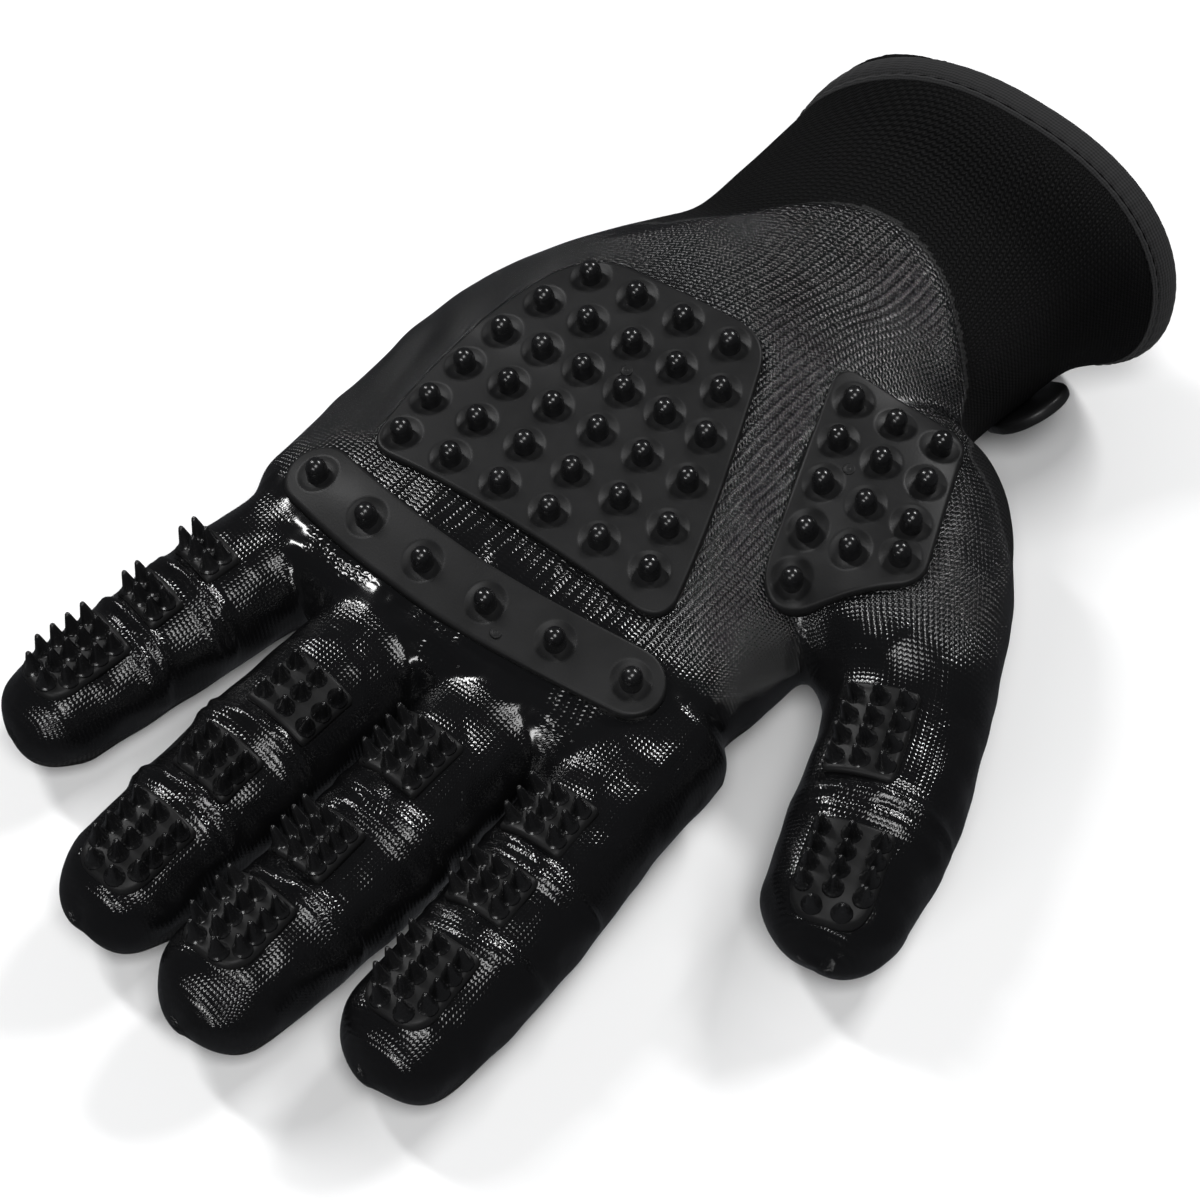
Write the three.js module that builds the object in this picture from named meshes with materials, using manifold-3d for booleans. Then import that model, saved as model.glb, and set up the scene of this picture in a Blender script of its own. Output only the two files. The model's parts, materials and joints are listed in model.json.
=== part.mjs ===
// Left-hand pet grooming glove, lying on its back with the palm up and filled as if worn.
// Millimetres, +Z up from the table through the palm, fingers towards -Y, thumb on the +X side.
// The origin is on the table below the middle of the palm.
import * as THREE from 'three';
import { ParametricGeometry } from 'three/addons/geometries/ParametricGeometry.js';
import { mergeVertices } from 'three/addons/utils/BufferGeometryUtils.js';
import Module from 'manifold-3d';

const wasm = await Module();
wasm.setup();

// Driving dimensions
const WALL = 2.0;                 // knit and coating together
const CLEARANCE = 0.3;            // between pieces that are bonded or sewn in the real glove
const RIM_GAP = 1.2;              // from a joint's axis plane to the rim of the stiff part beside it
const SLEEVE_WALL = 1.3;          // bare stretch of knit that bends at a joint
const SLEEVE_INSET = 0.3;         // how far a sleeve lies inside the outer surface beside it
const PAD_THICKNESS = 1.5;        // moulded rubber plate
const NUB_RADIUS = 2.1;           // domed nubs of the palm pads
const NUB_HEIGHT = 4.4;
const CONE_RADIUS = 1.9;          // pointed cones of the finger pads
const CONE_HEIGHT = 4.5;
const SEAM = 1.1;                 // between the strap and its rubber end
const ROOT = 0.6;                 // how deep a nub or cone starts inside its plate
const ROUNDNESS = 2.25;           // superellipse exponent of fingers and cuff
const PALM_ROUNDNESS = 2.6;
const NUB_SIDES = 6;
const CONE_SIDES = 5;
const FINGER_SIDES = 14;
const PALM_SIDES = 24;
const CUFF_SIDES = 28;

const COLOURS = {
  coating: { color: 0x1b1b1b, roughness: 0.42, metalness: 0 },
  knit: { color: 0x232323, roughness: 0.9, metalness: 0 },
  cuff: { color: 0x101010, roughness: 0.95, metalness: 0 },
  rubber: { color: 0x2a2b2c, roughness: 0.6, metalness: 0 },
  binding: { color: 0x161616, roughness: 0.85, metalness: 0 },
  strap: { color: 0x121212, roughness: 0.8, metalness: 0 },
};

// Each finger has a frame of its own: its first joint stands over `base`, it points along -Y turned by
// `yaw` degrees, and t is the distance along it. A station is [t, x, z, half width, half height]:
// the first joint, the other joints, and the start of the round tip, which is `tip` long.
// A joint bends towards the palm by `flex` degrees and back by `back`, about an axis `lift` above
// the finger's centre line. A pad is [t, length, width, roll, rows of cones].
const FINGERS = {
  index: {
    base: [30.8, -46], yaw: -3.7, tip: 11.9, rooted: 20,
    stations: [[0, 0, 15.4, 12.5, 12.2], [19.3, 0.8, 14.6, 13.0, 12.1], [36.2, 1.0, 13.8, 12.7, 11.7],
      [52.6, 0, 12.6, 12.3, 11.4]],
    joints: [{ flex: 60, back: 10, lift: 3 }, { flex: 32, back: 5, lift: 5.5 }, { flex: 40, back: 5, lift: 5 }],
    pads: [[10.7, 12, 13.6, -16, [3, 3, 3]], [27.5, 11, 13.2, -16, [3, 3, 3]],
      [48.5, 18, 14.4, -10, [3, 3, 3, 3, 2]]],
  },
  middle: {
    base: [4.7, -46], yaw: -8.4, tip: 12.9, rooted: 26,
    stations: [[0, 0, 16.0, 12.5, 12.5], [26.2, 1.3, 15.1, 13.2, 12.4], [46.9, 1.2, 14.1, 12.9, 12.1],
      [62.2, 0, 12.9, 12.6, 11.9]],
    joints: [{ flex: 60, back: 10, lift: 3 }, { flex: 50, back: 5, lift: 5.5 }, { flex: 35, back: 5, lift: 5 }],
    pads: [[14.2, 13.5, 14.0, -15, [3, 3, 3, 3]], [37.6, 12.5, 13.0, -19, [3, 3, 3, 3]],
      [58.0, 17, 14.8, -14, [3, 3, 3, 3, 2]]],
  },
  ring: {
    base: [-21.9, -46], yaw: -9.1, tip: 12.3, rooted: 26,
    stations: [[0, 0, 15.6, 12.5, 12.3], [24.9, 0, 14.8, 12.9, 12.2], [42.3, 0, 13.6, 12.3, 11.7],
      [56.5, 0, 12.3, 12.0, 11.3]],
    joints: [{ flex: 60, back: 10, lift: 3 }, { flex: 42, back: 5, lift: 5.5 }, { flex: 40, back: 5, lift: 5 }],
    pads: [[14.9, 13, 14.2, 8, [3, 3, 3]], [33.7, 10.5, 13.0, 0, [3, 3, 3]],
      [54.5, 18, 14.0, 0, [3, 3, 3, 3, 2]]],
  },
  little: {
    base: [-49.6, -38.5], yaw: -18.4, tip: 11.2, rooted: 22,
    stations: [[0, 0, 14.8, 11.8, 11.8], [14.3, 0, 13.8, 11.8, 11.4], [27.1, 0, 12.6, 11.3, 10.8],
      [42.7, 0, 11.5, 10.7, 10.2]],
    joints: [{ flex: 50, back: 10, lift: 3 }, { flex: 38, back: 5, lift: 5.5 }, { flex: 35, back: 5, lift: 5 }],
    pads: [[7.9, 7.5, 11.4, -16, [3, 3]], [20.9, 7.5, 11.6, -13, [3, 3]],
      [38.5, 18, 12.4, -10, [3, 3, 3, 3, 2]]],
  },
  thumb: {
    base: [64.3, 0.5], yaw: 14.9, tip: 12.8, rooted: 0,
    stations: [[0, 0.5, 16.8, 15.6, 13.8], [25.4, 1.7, 14.8, 14.6, 13.2], [38.8, 0.6, 13.8, 13.3, 12.4]],
    joints: [{ flex: 40, back: 10, lift: 3 }, { flex: 50, back: 5, lift: 5.5 }],
    pads: [[12, 18, 13.4, -15, [3, 3, 3, 3]], [39.2, 18.5, 15.0, 0, [3, 3, 3, 3, 2]]],
  },
};
const SEGMENT_NAMES = { finger: ['proximal', 'middle', 'distal'], thumb: ['proximal', 'distal'] };

// The cuff's frame stands over the wrist joint, with +Y along the forearm.
// A station is [t, x, z, half width, half height].
const WRIST = { base: [9.0, 64], yaw: -9, flex: 25, back: 25, height: 20.4 };
const CUFF_STATIONS = [[0, 0, 20.4, 35.0, 15.0], [12, 1.4, 22.0, 35.0, 16.0], [24, 3.5, 25.2, 35.5, 18.8],
  [36, 7.9, 28.0, 38.0, 26.2]];
// Rim: distance from the wrist joint, and how far it leans out on the thumb side and on the palm side
const RIM = { t: 36.7, thumbSide: 5.0, palmSide: 4.6, crown: 3.1 };
const BINDING_WIDTH = 6.5;
const BINDING_THICKNESS = 1.4;

// Palm: [x, y, z, half width, half height, yaw], from the wrist to the roots of the fingers
const PALM_STATIONS = [
  [6.2, 55, 20.6, 36.6, 17.2, -9], [3, 46, 20.0, 41, 18.2, -8], [-1, 34, 18.6, 46.5, 18.4, -5],
  [-3.6, 20, 17.6, 49.6, 18.0, -2], [-5.6, 4, 16.9, 50.1, 17.4, 0], [-8, -12, 16.5, 49.7, 16.8, 0],
  [-9.9, -26, 16.8, 48.2, 15.2, -3], [-9.8, -36.5, 16.4, 44.5, 12.2, -6],
];
// Ball of the thumb: the same, from inside the palm to the thumb's first joint
const THENAR_STATIONS = [
  [24, 45, 19.5, 14, 13, 46], [36, 37, 19.6, 21.5, 17.6, 43], [49.5, 22, 19.2, 21.5, 17.4, 37],
  [58.6, 9.5, 18.2, 18.4, 15.8, 26],
];

// Strap: it lies across the back of the cuff and its round end shows past the thumb side
// (from, patch and to count the cuff's sides round from the thumb side, over the palm to the back)
const STRAP = { t: 15.9, width: 15.6, thickness: 1.4, anchor: 15, from: 18, patch: 22, to: 25, tab: 14, tabDroop: -14 };
const LOOP_PATCH = { thickness: 0.7, halfWidth: 7.3, lift: 0.5 };
const HOOK_PATCH = { thickness: 0.6, halfWidth: 7 };

// ---------------------------------------------------------------- solids

const degrees = THREE.MathUtils.degToRad;

function power(value, exponent) {
  return Math.sign(value) * Math.abs(value) ** exponent;
}

function closedGeometry(geometry) {
  geometry.deleteAttribute('normal');
  geometry.deleteAttribute('uv');
  const merged = mergeVertices(geometry, 1e-4);
  const corners = merged.index.array;
  const kept = [];
  const [a, b, c] = [new THREE.Vector3(), new THREE.Vector3(), new THREE.Vector3()];
  const position = merged.attributes.position;
  let volume = 0;
  for (let i = 0; i < corners.length; i += 3) {
    const [p, q, r] = [corners[i], corners[i + 1], corners[i + 2]];
    if (p === q || q === r || p === r) continue;
    kept.push([p, q, r]);
    a.fromBufferAttribute(position, p);
    b.fromBufferAttribute(position, q);
    c.fromBufferAttribute(position, r);
    volume += a.dot(b.cross(c));
  }
  merged.setIndex(kept.flatMap(([p, q, r]) => (volume > 0 ? [p, q, r] : [p, r, q])));
  return merged;
}

// A skin through rings, each a function from an angle to a point. `looped` joins the last ring to the first.
function loft(rings, sides, looped) {
  const stacks = looped ? rings.length : rings.length - 1;
  const surface = (u, v, target) => {
    const ring = rings[Math.round(v * stacks) % rings.length];
    target.copy(ring(2 * Math.PI * (Math.round(u * sides) % sides) / sides));
  };
  return closedGeometry(new ParametricGeometry(surface, sides, stacks));
}

function toSolid(geometry) {
  const vertProperties = new Float32Array(geometry.attributes.position.array);
  const triVerts = new Uint32Array(geometry.index.array);
  return new wasm.Manifold(new wasm.Mesh({ numProp: 3, vertProperties, triVerts }));
}

function toGeometry(solid) {
  const mesh = solid.getMesh();
  const geometry = new THREE.BufferGeometry();
  geometry.setAttribute('position', new THREE.BufferAttribute(mesh.vertProperties, 3));
  geometry.setIndex(new THREE.BufferAttribute(mesh.triVerts, 1));
  return geometry;
}

function named(name, geometry, colour) {
  const mesh = new THREE.Mesh(geometry, new THREE.MeshStandardMaterial(COLOURS[colour]));
  mesh.name = name;
  return mesh;
}

// Values of the stations at distance t, in straight steps between them and held at both ends
function between(stations, t) {
  if (t <= stations[0][0]) return stations[0];
  for (let i = 1; i < stations.length; i += 1) {
    const [low, high] = [stations[i - 1], stations[i]];
    if (t <= high[0]) {
      const part = (t - low[0]) / (high[0] - low[0]);
      return low.map((value, k) => value + part * (high[k] - value));
    }
  }
  return stations[stations.length - 1];
}

// How far a rim stands back from its joint's axis plane at a height above the axis
function setback(joint, height) {
  const share = height > 0 ? joint.flex / 2 : joint.back / 2;
  return RIM_GAP + Math.abs(height) * Math.tan(degrees(share));
}

// ---------------------------------------------------------------- fingers

function fingerFrame(finger) {
  const frame = new THREE.Group();
  frame.position.set(finger.base[0], finger.base[1], 0);
  frame.rotation.z = degrees(finger.yaw);
  frame.updateMatrix();
  return frame;
}

// A ring round the finger at distance t, or where `along` puts each point for its height
function fingerRing(finger, t, grow, along) {
  const onSection = ([, x, z, halfWidth, halfHeight], angle) => [
    x + (halfWidth + grow) * power(Math.cos(angle), 2 / ROUNDNESS),
    z + (halfHeight + grow) * power(Math.sin(angle), 2 / ROUNDNESS),
  ];
  return (angle) => {
    const nominal = onSection(between(finger.stations, t), angle);
    const reach = along ? along(nominal[1]) : t;
    const [px, pz] = onSection(between(finger.stations, reach), angle);
    return new THREE.Vector3(px, -reach, pz);
  };
}

function tipRings(finger, grow) {
  const [start, x, z, halfWidth, halfHeight] = finger.stations.at(-1);
  const length = finger.tip + grow;
  const rings = [0.42, 0.72, 0.92].map((reach) => {
    const shrink = Math.sqrt(1 - reach * reach);
    return (angle) => new THREE.Vector3(
      x + shrink * (halfWidth + grow) * power(Math.cos(angle), 2 / ROUNDNESS),
      -(start + reach * length),
      z + shrink * (halfHeight + grow) * power(Math.sin(angle), 2 / ROUNDNESS),
    );
  });
  const apex = new THREE.Vector3(x, -(start + length), z);
  return [...rings, () => apex.clone()];
}

function axisHeight(finger, joint) {
  return finger.stations[joint][2] + finger.joints[joint].lift;
}

function rimAt(finger, joint, side) {
  const t = finger.stations[joint][0];
  const height = axisHeight(finger, joint);
  return (z) => t + side * setback(finger.joints[joint], z - height);
}

// Tube between two joints, or the thimble past the last one
function fingerShell(finger, segment) {
  const start = rimAt(finger, segment, 1);
  const startT = finger.stations[segment][0];
  const endT = finger.stations[segment + 1][0];
  if (segment < finger.joints.length - 1) {
    const end = rimAt(finger, segment + 1, -1);
    const steps = [0, 0.5, 1];
    const rings = (grow) => steps.map((step) => fingerRing(finger, startT + step * (endT - startT), grow,
      (z) => start(z) + step * (end(z) - start(z))));
    return loft([...rings(0), ...rings(-WALL).reverse()], FINGER_SIDES, true);
  }
  const rings = (grow) => [
    fingerRing(finger, startT, grow, start),
    fingerRing(finger, endT, grow),
    ...tipRings(finger, grow),
  ];
  return loft([...rings(0).reverse(), ...rings(-WALL)], FINGER_SIDES, false);
}

function fingerSleeve(finger, joint) {
  const t = finger.stations[joint][0];
  const start = rimAt(finger, joint, -1);
  const end = rimAt(finger, joint, 1);
  const rings = (grow) => [
    fingerRing(finger, t, grow, (z) => start(z) + CLEARANCE),
    fingerRing(finger, t, grow, (z) => end(z) - CLEARANCE),
  ];
  const outer = rings(-SLEEVE_INSET);
  const inner = rings(-SLEEVE_INSET - SLEEVE_WALL).reverse();
  return loft([...outer, ...inner], FINGER_SIDES, true);
}

// The whole outer form of a finger, closed at both ends, to lay pads on
function fingerForm(finger, grow) {
  const first = finger.stations[0][0];
  const root = new THREE.Vector3(0, first, finger.stations[0][2]);
  const rings = finger.stations.map(([t]) => fingerRing(finger, t, grow));
  return toSolid(loft([() => root.clone(), ...rings, ...tipRings(finger, grow)], FINGER_SIDES, false));
}

// ---------------------------------------------------------------- palm

function stationRing([x, y, z, halfWidth, halfHeight, yaw], grow, along) {
  const side = new THREE.Vector3(Math.cos(degrees(yaw)), Math.sin(degrees(yaw)), 0);
  const ahead = new THREE.Vector3(-side.y, side.x, 0);
  return (angle) => {
    const across = (halfWidth + grow) * power(Math.cos(angle), 2 / PALM_ROUNDNESS);
    const height = z + (halfHeight + grow) * power(Math.sin(angle), 2 / PALM_ROUNDNESS);
    const point = new THREE.Vector3(x, y, height).addScaledVector(side, across);
    return along ? point.addScaledVector(ahead, along(height)) : point;
  };
}

function cap([x, y, z], push, yaw) {
  const point = new THREE.Vector3(x - push * Math.sin(degrees(yaw)), y + push * Math.cos(degrees(yaw)), z);
  return () => point.clone();
}

function wristRim(side) {
  return (z) => side * setback(WRIST, z - WRIST.height);
}

// The bag of the hand: palm, ball of the thumb and finger roots. `reach` runs its ends past the rims.
function handForm(grow, reach) {
  const [, , wristZ, wristWidth, wristHeight] = CUFF_STATIONS[0];
  const wrist = [...WRIST.base, wristZ, wristWidth, wristHeight, WRIST.yaw];
  const wristEnd = (z) => wristRim(-1)(z) + reach;
  const palm = [
    cap(wrist, reach - RIM_GAP, WRIST.yaw),
    stationRing(wrist, grow, wristEnd),
    ...PALM_STATIONS.map((station) => stationRing(station, grow)),
    cap(PALM_STATIONS.at(-1), 0, 0),
  ];
  let hand = toSolid(loft(palm, PALM_SIDES, false));

  for (const finger of Object.values(FINGERS)) {
    const place = fingerFrame(finger).matrix;
    const rim = rimAt(finger, 0, -1);
    const end = (z) => rim(z) + reach;
    const tipPoint = new THREE.Vector3(0, RIM_GAP - reach, axisHeight(finger, 0)).applyMatrix4(place);
    const endRing = fingerRing(finger, 0, grow, end);
    const placedEnd = (angle) => endRing(angle).applyMatrix4(place);
    let rings;
    if (finger.rooted) {
      const root = fingerRing(finger, 0, grow, () => -finger.rooted);
      const rootPoint = new THREE.Vector3(0, finger.rooted, finger.stations[0][2]).applyMatrix4(place);
      rings = [() => rootPoint.clone(), (angle) => root(angle).applyMatrix4(place), placedEnd,
        () => tipPoint.clone()];
    } else {
      rings = [cap(THENAR_STATIONS[0], 0, 0),
        ...THENAR_STATIONS.map((station) => stationRing(station, grow)), placedEnd, () => tipPoint.clone()];
    }
    hand = hand.add(toSolid(loft(rings, FINGER_SIDES, false)));
  }
  return hand;
}

// ---------------------------------------------------------------- rubber pads

function roundedRectangle(width, length, radius, endRadius) {
  const [x, y] = [width / 2, length / 2];
  const shape = new THREE.Shape();
  shape.moveTo(-x + radius, y);
  shape.lineTo(x - radius, y);
  shape.quadraticCurveTo(x, y, x, y - radius);
  shape.lineTo(x, -y + endRadius);
  shape.quadraticCurveTo(x, -y, x - endRadius, -y);
  shape.lineTo(-x + endRadius, -y);
  shape.quadraticCurveTo(-x, -y, -x, -y + endRadius);
  shape.lineTo(-x, y - radius);
  shape.quadraticCurveTo(-x, y, -x + radius, y);
  return shape;
}

function nub() {
  const shoulder = NUB_HEIGHT - NUB_RADIUS;
  const profile = [[0, -ROOT], [NUB_RADIUS, -ROOT], [NUB_RADIUS, shoulder], [0.65 * NUB_RADIUS, NUB_HEIGHT - 0.5],
    [0, NUB_HEIGHT]];
  return new THREE.LatheGeometry(profile.map(([r, h]) => new THREE.Vector2(r, h)), NUB_SIDES);
}

function cone() {
  const profile = [[0, -ROOT], [CONE_RADIUS, -ROOT], [0, CONE_HEIGHT]];
  return new THREE.LatheGeometry(profile.map(([r, h]) => new THREE.Vector2(r, h)), CONE_SIDES);
}

// A plate of even thickness laid on a form, with a bump at each of the given places.
// `place` takes the pad's own plane (x across, y along, z outwards) to the form.
function pad(form, shape, place, depth, bump, spots) {
  const prism = new THREE.ExtrudeGeometry(shape, { depth, bevelEnabled: false, curveSegments: 3 });
  const cutter = toSolid(closedGeometry(prism.applyMatrix4(place)));
  const raised = form(CLEARANCE + PAD_THICKNESS);
  let plate = raised.subtract(form(CLEARANCE)).intersect(cutter);
  const surface = new THREE.Mesh(toGeometry(raised));
  const outwards = new THREE.Vector3(0, 0, 1).transformDirection(place);
  const upright = new THREE.Matrix4().makeRotationX(Math.PI / 2);
  for (const [x, y] of spots) {
    const above = new THREE.Vector3(x, y, depth + 40).applyMatrix4(place);
    const hit = new THREE.Raycaster(above, outwards.clone().negate()).intersectObject(surface)[0];
    const stand = place.clone().setPosition(hit.point).multiply(upright);
    plate = plate.add(toSolid(closedGeometry(bump().applyMatrix4(stand))));
  }
  return toGeometry(plate);
}

function coneSpots(rows, width, length) {
  const rowStep = (length - 3.4) / (rows.length - 0.6);
  const spots = [];
  rows.forEach((count, row) => {
    const y = length / 2 - 2.4 - row * rowStep;
    const columnStep = (width - 4.4) / 2;
    for (let column = 0; column < count; column += 1) {
      spots.push([(column - (count - 1) / 2) * columnStep, y]);
    }
  });
  return spots;
}

function fingerPad(finger, [t, length, width, roll, rows]) {
  const [, x, z] = between(finger.stations, t);
  const turned = new THREE.Matrix4().makeRotationY(degrees(roll));
  const place = new THREE.Matrix4().makeTranslation(x, -t, z).multiply(turned);
  const rounded = rows.length > 4;
  const shape = roundedRectangle(width, length, 0.8, rounded ? width * 0.42 : 0.8);
  return pad((grow) => fingerForm(finger, grow), shape, place, 30, cone, coneSpots(rows, width, length));
}

const flat = new THREE.Matrix4().makeTranslation(0, 0, 20);

function spread(y, from, to, count) {
  return Array.from({ length: count }, (_, i) => {
    const part = i / (count - 1);
    return [from + part * (to - from), y];
  });
}

function palmPad(form) {
  const shape = new THREE.Shape();
  shape.moveTo(-37, -13.6);
  shape.quadraticCurveTo(-10, -13.2, 17.4, -16);
  shape.quadraticCurveTo(23.8, -16.4, 23.6, -10.6);
  shape.quadraticCurveTo(20, 8, 10.8, 36);
  shape.quadraticCurveTo(8.6, 42.4, 2.2, 42.6);
  shape.lineTo(-23, 42.4);
  shape.quadraticCurveTo(-30, 42, -34.4, 35);
  shape.quadraticCurveTo(-43, 17, -42, -8.4);
  shape.quadraticCurveTo(-41.6, -13.4, -37, -13.6);
  const spots = [
    ...spread(-8.6, -37.4, 16.4, 6), ...spread(0.4, -37.4, 14.4, 6), ...spread(10, -36.4, 12.2, 6),
    ...spread(19.2, -34.4, 10, 6), ...spread(28.4, -31.4, 7.2, 5), ...spread(37.4, -27.2, 3.2, 4),
  ];
  return pad(form, shape, flat, 40, nub, spots);
}

function thenarPad(form) {
  const shape = new THREE.Shape();
  shape.moveTo(25.5, 45.4);
  shape.lineTo(45.5, 46.4);
  shape.quadraticCurveTo(49.4, 46, 50.2, 42);
  shape.lineTo(57.6, 18.4);
  shape.quadraticCurveTo(58.2, 15.4, 55.6, 13);
  shape.lineTo(40.6, 1.4);
  shape.quadraticCurveTo(36.4, -1.6, 33.4, 2.8);
  shape.quadraticCurveTo(32.2, 5, 31.4, 8);
  shape.lineTo(22.8, 41);
  shape.quadraticCurveTo(22.4, 45, 25.5, 45.4);
  const column = (x, y, count) => Array.from({ length: count }, (_, i) => [x + 2.3 * i, y - 8.6 * i]);
  const spots = [...column(28.2, 40, 5), ...column(37.2, 40, 4), ...column(46, 41, 3), [52.4, 17.4]];
  return pad(form, shape, flat, 40, nub, spots);
}

// Long strip behind the finger roots, with round ends
function knuckleStrip(form) {
  const line = new THREE.QuadraticBezierCurve(new THREE.Vector2(-46, -22.8), new THREE.Vector2(-12.8, -33.4),
    new THREE.Vector2(25.4, -27.8));
  const halfWidth = 6.3;
  const beside = (part, angle) => {
    const [at, ahead] = [line.getPoint(part), line.getTangent(THREE.MathUtils.clamp(part, 0, 1))];
    return at.add(ahead.rotateAround(new THREE.Vector2(), angle).multiplyScalar(halfWidth));
  };
  const steps = 8;
  const points = [];
  for (let i = 0; i <= steps; i += 1) points.push(beside(i / steps, -Math.PI / 2));
  for (let i = 1; i < 5; i += 1) points.push(beside(1, -Math.PI / 2 + (i * Math.PI) / 5));
  for (let i = steps; i >= 0; i -= 1) points.push(beside(i / steps, Math.PI / 2));
  for (let i = 1; i < 5; i += 1) points.push(beside(0, Math.PI / 2 + (i * Math.PI) / 5));
  const spots = Array.from({ length: 6 }, (_, i) => line.getPoint(i / 5).toArray());
  return pad(form, new THREE.Shape(points), flat, 40, nub, spots);
}

// ---------------------------------------------------------------- cuff and strap

function cuffRing(t, grow, along) {
  const [, x, z, halfWidth, halfHeight] = between(CUFF_STATIONS, t);
  return (angle) => {
    const px = x + (halfWidth + grow) * power(Math.cos(angle), 2 / ROUNDNESS);
    const pz = z + (halfHeight + grow) * power(Math.sin(angle), 2 / ROUNDNESS);
    return new THREE.Vector3(px, along ? along(pz, angle) : t, pz);
  };
}

function rimLine(angle) {
  const height = Math.sin(angle);
  return RIM.t + RIM.thumbSide * Math.cos(angle) + RIM.palmSide * height + RIM.crown * height ** 2;
}

const knitEnd = (angle) => rimLine(angle) - BINDING_THICKNESS - CLEARANCE;
const [, , CUFF_BEND, CUFF_MOUTH] = CUFF_STATIONS.map(([t]) => t);

function cuffKnit() {
  const start = wristRim(1);
  const rings = (grow) => [
    cuffRing(0, grow, (z) => start(z)),
    cuffRing(CUFF_STATIONS[1][0], grow),
    cuffRing(CUFF_BEND, grow),
    cuffRing(CUFF_MOUTH, grow, (z, angle) => knitEnd(angle)),
  ];
  return loft([...rings(0), ...rings(-WALL).reverse()], CUFF_SIDES, true);
}

function wristSleeve() {
  const rings = (grow) => [
    cuffRing(0, grow, (z) => wristRim(-1)(z) + CLEARANCE),
    cuffRing(0, grow, (z) => wristRim(1)(z) - CLEARANCE),
  ];
  const inner = rings(-SLEEVE_INSET - SLEEVE_WALL).reverse();
  return loft([...rings(-SLEEVE_INSET), ...inner], PALM_SIDES, true);
}

// Folded tape over the rim: [distance in from the rim, distance out from the knit's outer face]
function cuffBinding() {
  const outer = CLEARANCE + BINDING_THICKNESS;
  const profile = [
    [BINDING_WIDTH, CLEARANCE], [BINDING_WIDTH, outer], [1, outer], [0, outer - 1],
    [0, 1 - WALL - outer], [1, -WALL - outer], [BINDING_WIDTH, -WALL - outer],
    [BINDING_WIDTH, -WALL - CLEARANCE], [BINDING_THICKNESS, -WALL - CLEARANCE], [BINDING_THICKNESS, CLEARANCE],
  ];
  const rings = profile.map(([inward, out]) => (angle) => {
    const y = rimLine(angle) - inward;
    const t = CUFF_BEND + ((y - CUFF_BEND) * (CUFF_MOUTH - CUFF_BEND)) / (knitEnd(angle) - CUFF_BEND);
    return cuffRing(t, out, () => y)(angle);
  });
  return loft(rings, CUFF_SIDES, true);
}

const cuffAngle = (side) => (2 * Math.PI * side) / CUFF_SIDES;

// A band lying on the back of the cuff between two of its sides, from `off` above the knit
function bandOnCuff(from, to, off, thickness, halfWidth) {
  const sides = [];
  for (let side = from; side < to; side += 1) sides.push(side);
  const section = [[halfWidth, off], [halfWidth, off + thickness], [-halfWidth, off + thickness],
    [-halfWidth, off]];
  const corners = section.map(([along, out]) => cuffRing(STRAP.t + along, out));
  const rings = [...sides, to].map((side) => corners.map((corner) => corner(cuffAngle(side))));
  const middle = (ring) => ring[0].clone().add(ring[1]).add(ring[2]).add(ring[3]).divideScalar(4);
  const around = rings.map((ring) => (angle) => ring[Math.round((2 * angle) / Math.PI) % 4].clone());
  const [first, last] = [middle(rings[0]), middle(rings.at(-1))];
  return loft([() => first.clone(), ...around, () => last.clone()], 4, false);
}

// Round rubber end of the strap: a flat tongue that leaves the cuff a little off its tangent
function strapTab(off) {
  const [near, far] = [-0.5, 0.5].map((side) => cuffRing(STRAP.t + side * STRAP.width, off));
  const angle = cuffAngle(STRAP.to);
  const start = near(angle).add(far(angle)).multiplyScalar(0.5);
  const along = far(angle).sub(near(angle)).normalize();
  const ahead = far(angle).sub(far(angle - 0.05)).normalize();
  ahead.addScaledVector(along, -ahead.dot(along)).normalize();
  ahead.applyAxisAngle(along, degrees(STRAP.tabDroop));
  const outwards = new THREE.Vector3().crossVectors(along, ahead);
  const radius = STRAP.width / 2;
  const shape = new THREE.Shape();
  shape.moveTo(-radius, SEAM);
  shape.lineTo(radius, SEAM);
  shape.lineTo(radius, STRAP.tab - radius);
  shape.absellipse(0, STRAP.tab - radius, radius, radius, 0, Math.PI);
  const tongue = new THREE.ExtrudeGeometry(shape, { depth: 2.2, bevelEnabled: false, curveSegments: 10 });
  const basis = new THREE.Matrix4().makeBasis(along, ahead, outwards).setPosition(start);
  return closedGeometry(tongue.applyMatrix4(basis));
}

// ---------------------------------------------------------------- assembly

const glove = new THREE.Group();

const outerHand = handForm(0, 0);
const innerHand = handForm(-WALL, 4);
const underTable = toSolid(closedGeometry(new THREE.BoxGeometry(400, 400, 20).translate(0, 0, -10)));
const palmShell = outerHand.subtract(innerHand).subtract(underTable);
glove.add(named('palm_shell', toGeometry(palmShell), 'coating'));
const formCache = new Map();
const handGrown = (grow) => {
  if (!formCache.has(grow)) formCache.set(grow, handForm(grow, 0));
  return formCache.get(grow);
};
glove.add(named('palm_pad', palmPad(handGrown), 'rubber'));
glove.add(named('thenar_pad', thenarPad(handGrown), 'rubber'));
glove.add(named('knuckle_strip', knuckleStrip(handGrown), 'rubber'));

for (const [name, finger] of Object.entries(FINGERS)) {
  const frame = fingerFrame(finger);
  const parts = SEGMENT_NAMES[name === 'thumb' ? 'thumb' : 'finger'];
  parts.forEach((part, i) => {
    frame.add(named(`${name}_${part}_sleeve`, fingerSleeve(finger, i), 'knit'));
    frame.add(named(`${name}_${part}_shell`, fingerShell(finger, i), 'coating'));
    frame.add(named(`${name}_${part}_pad`, fingerPad(finger, finger.pads[i]), 'rubber'));
  });
  glove.add(frame);
}

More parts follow.
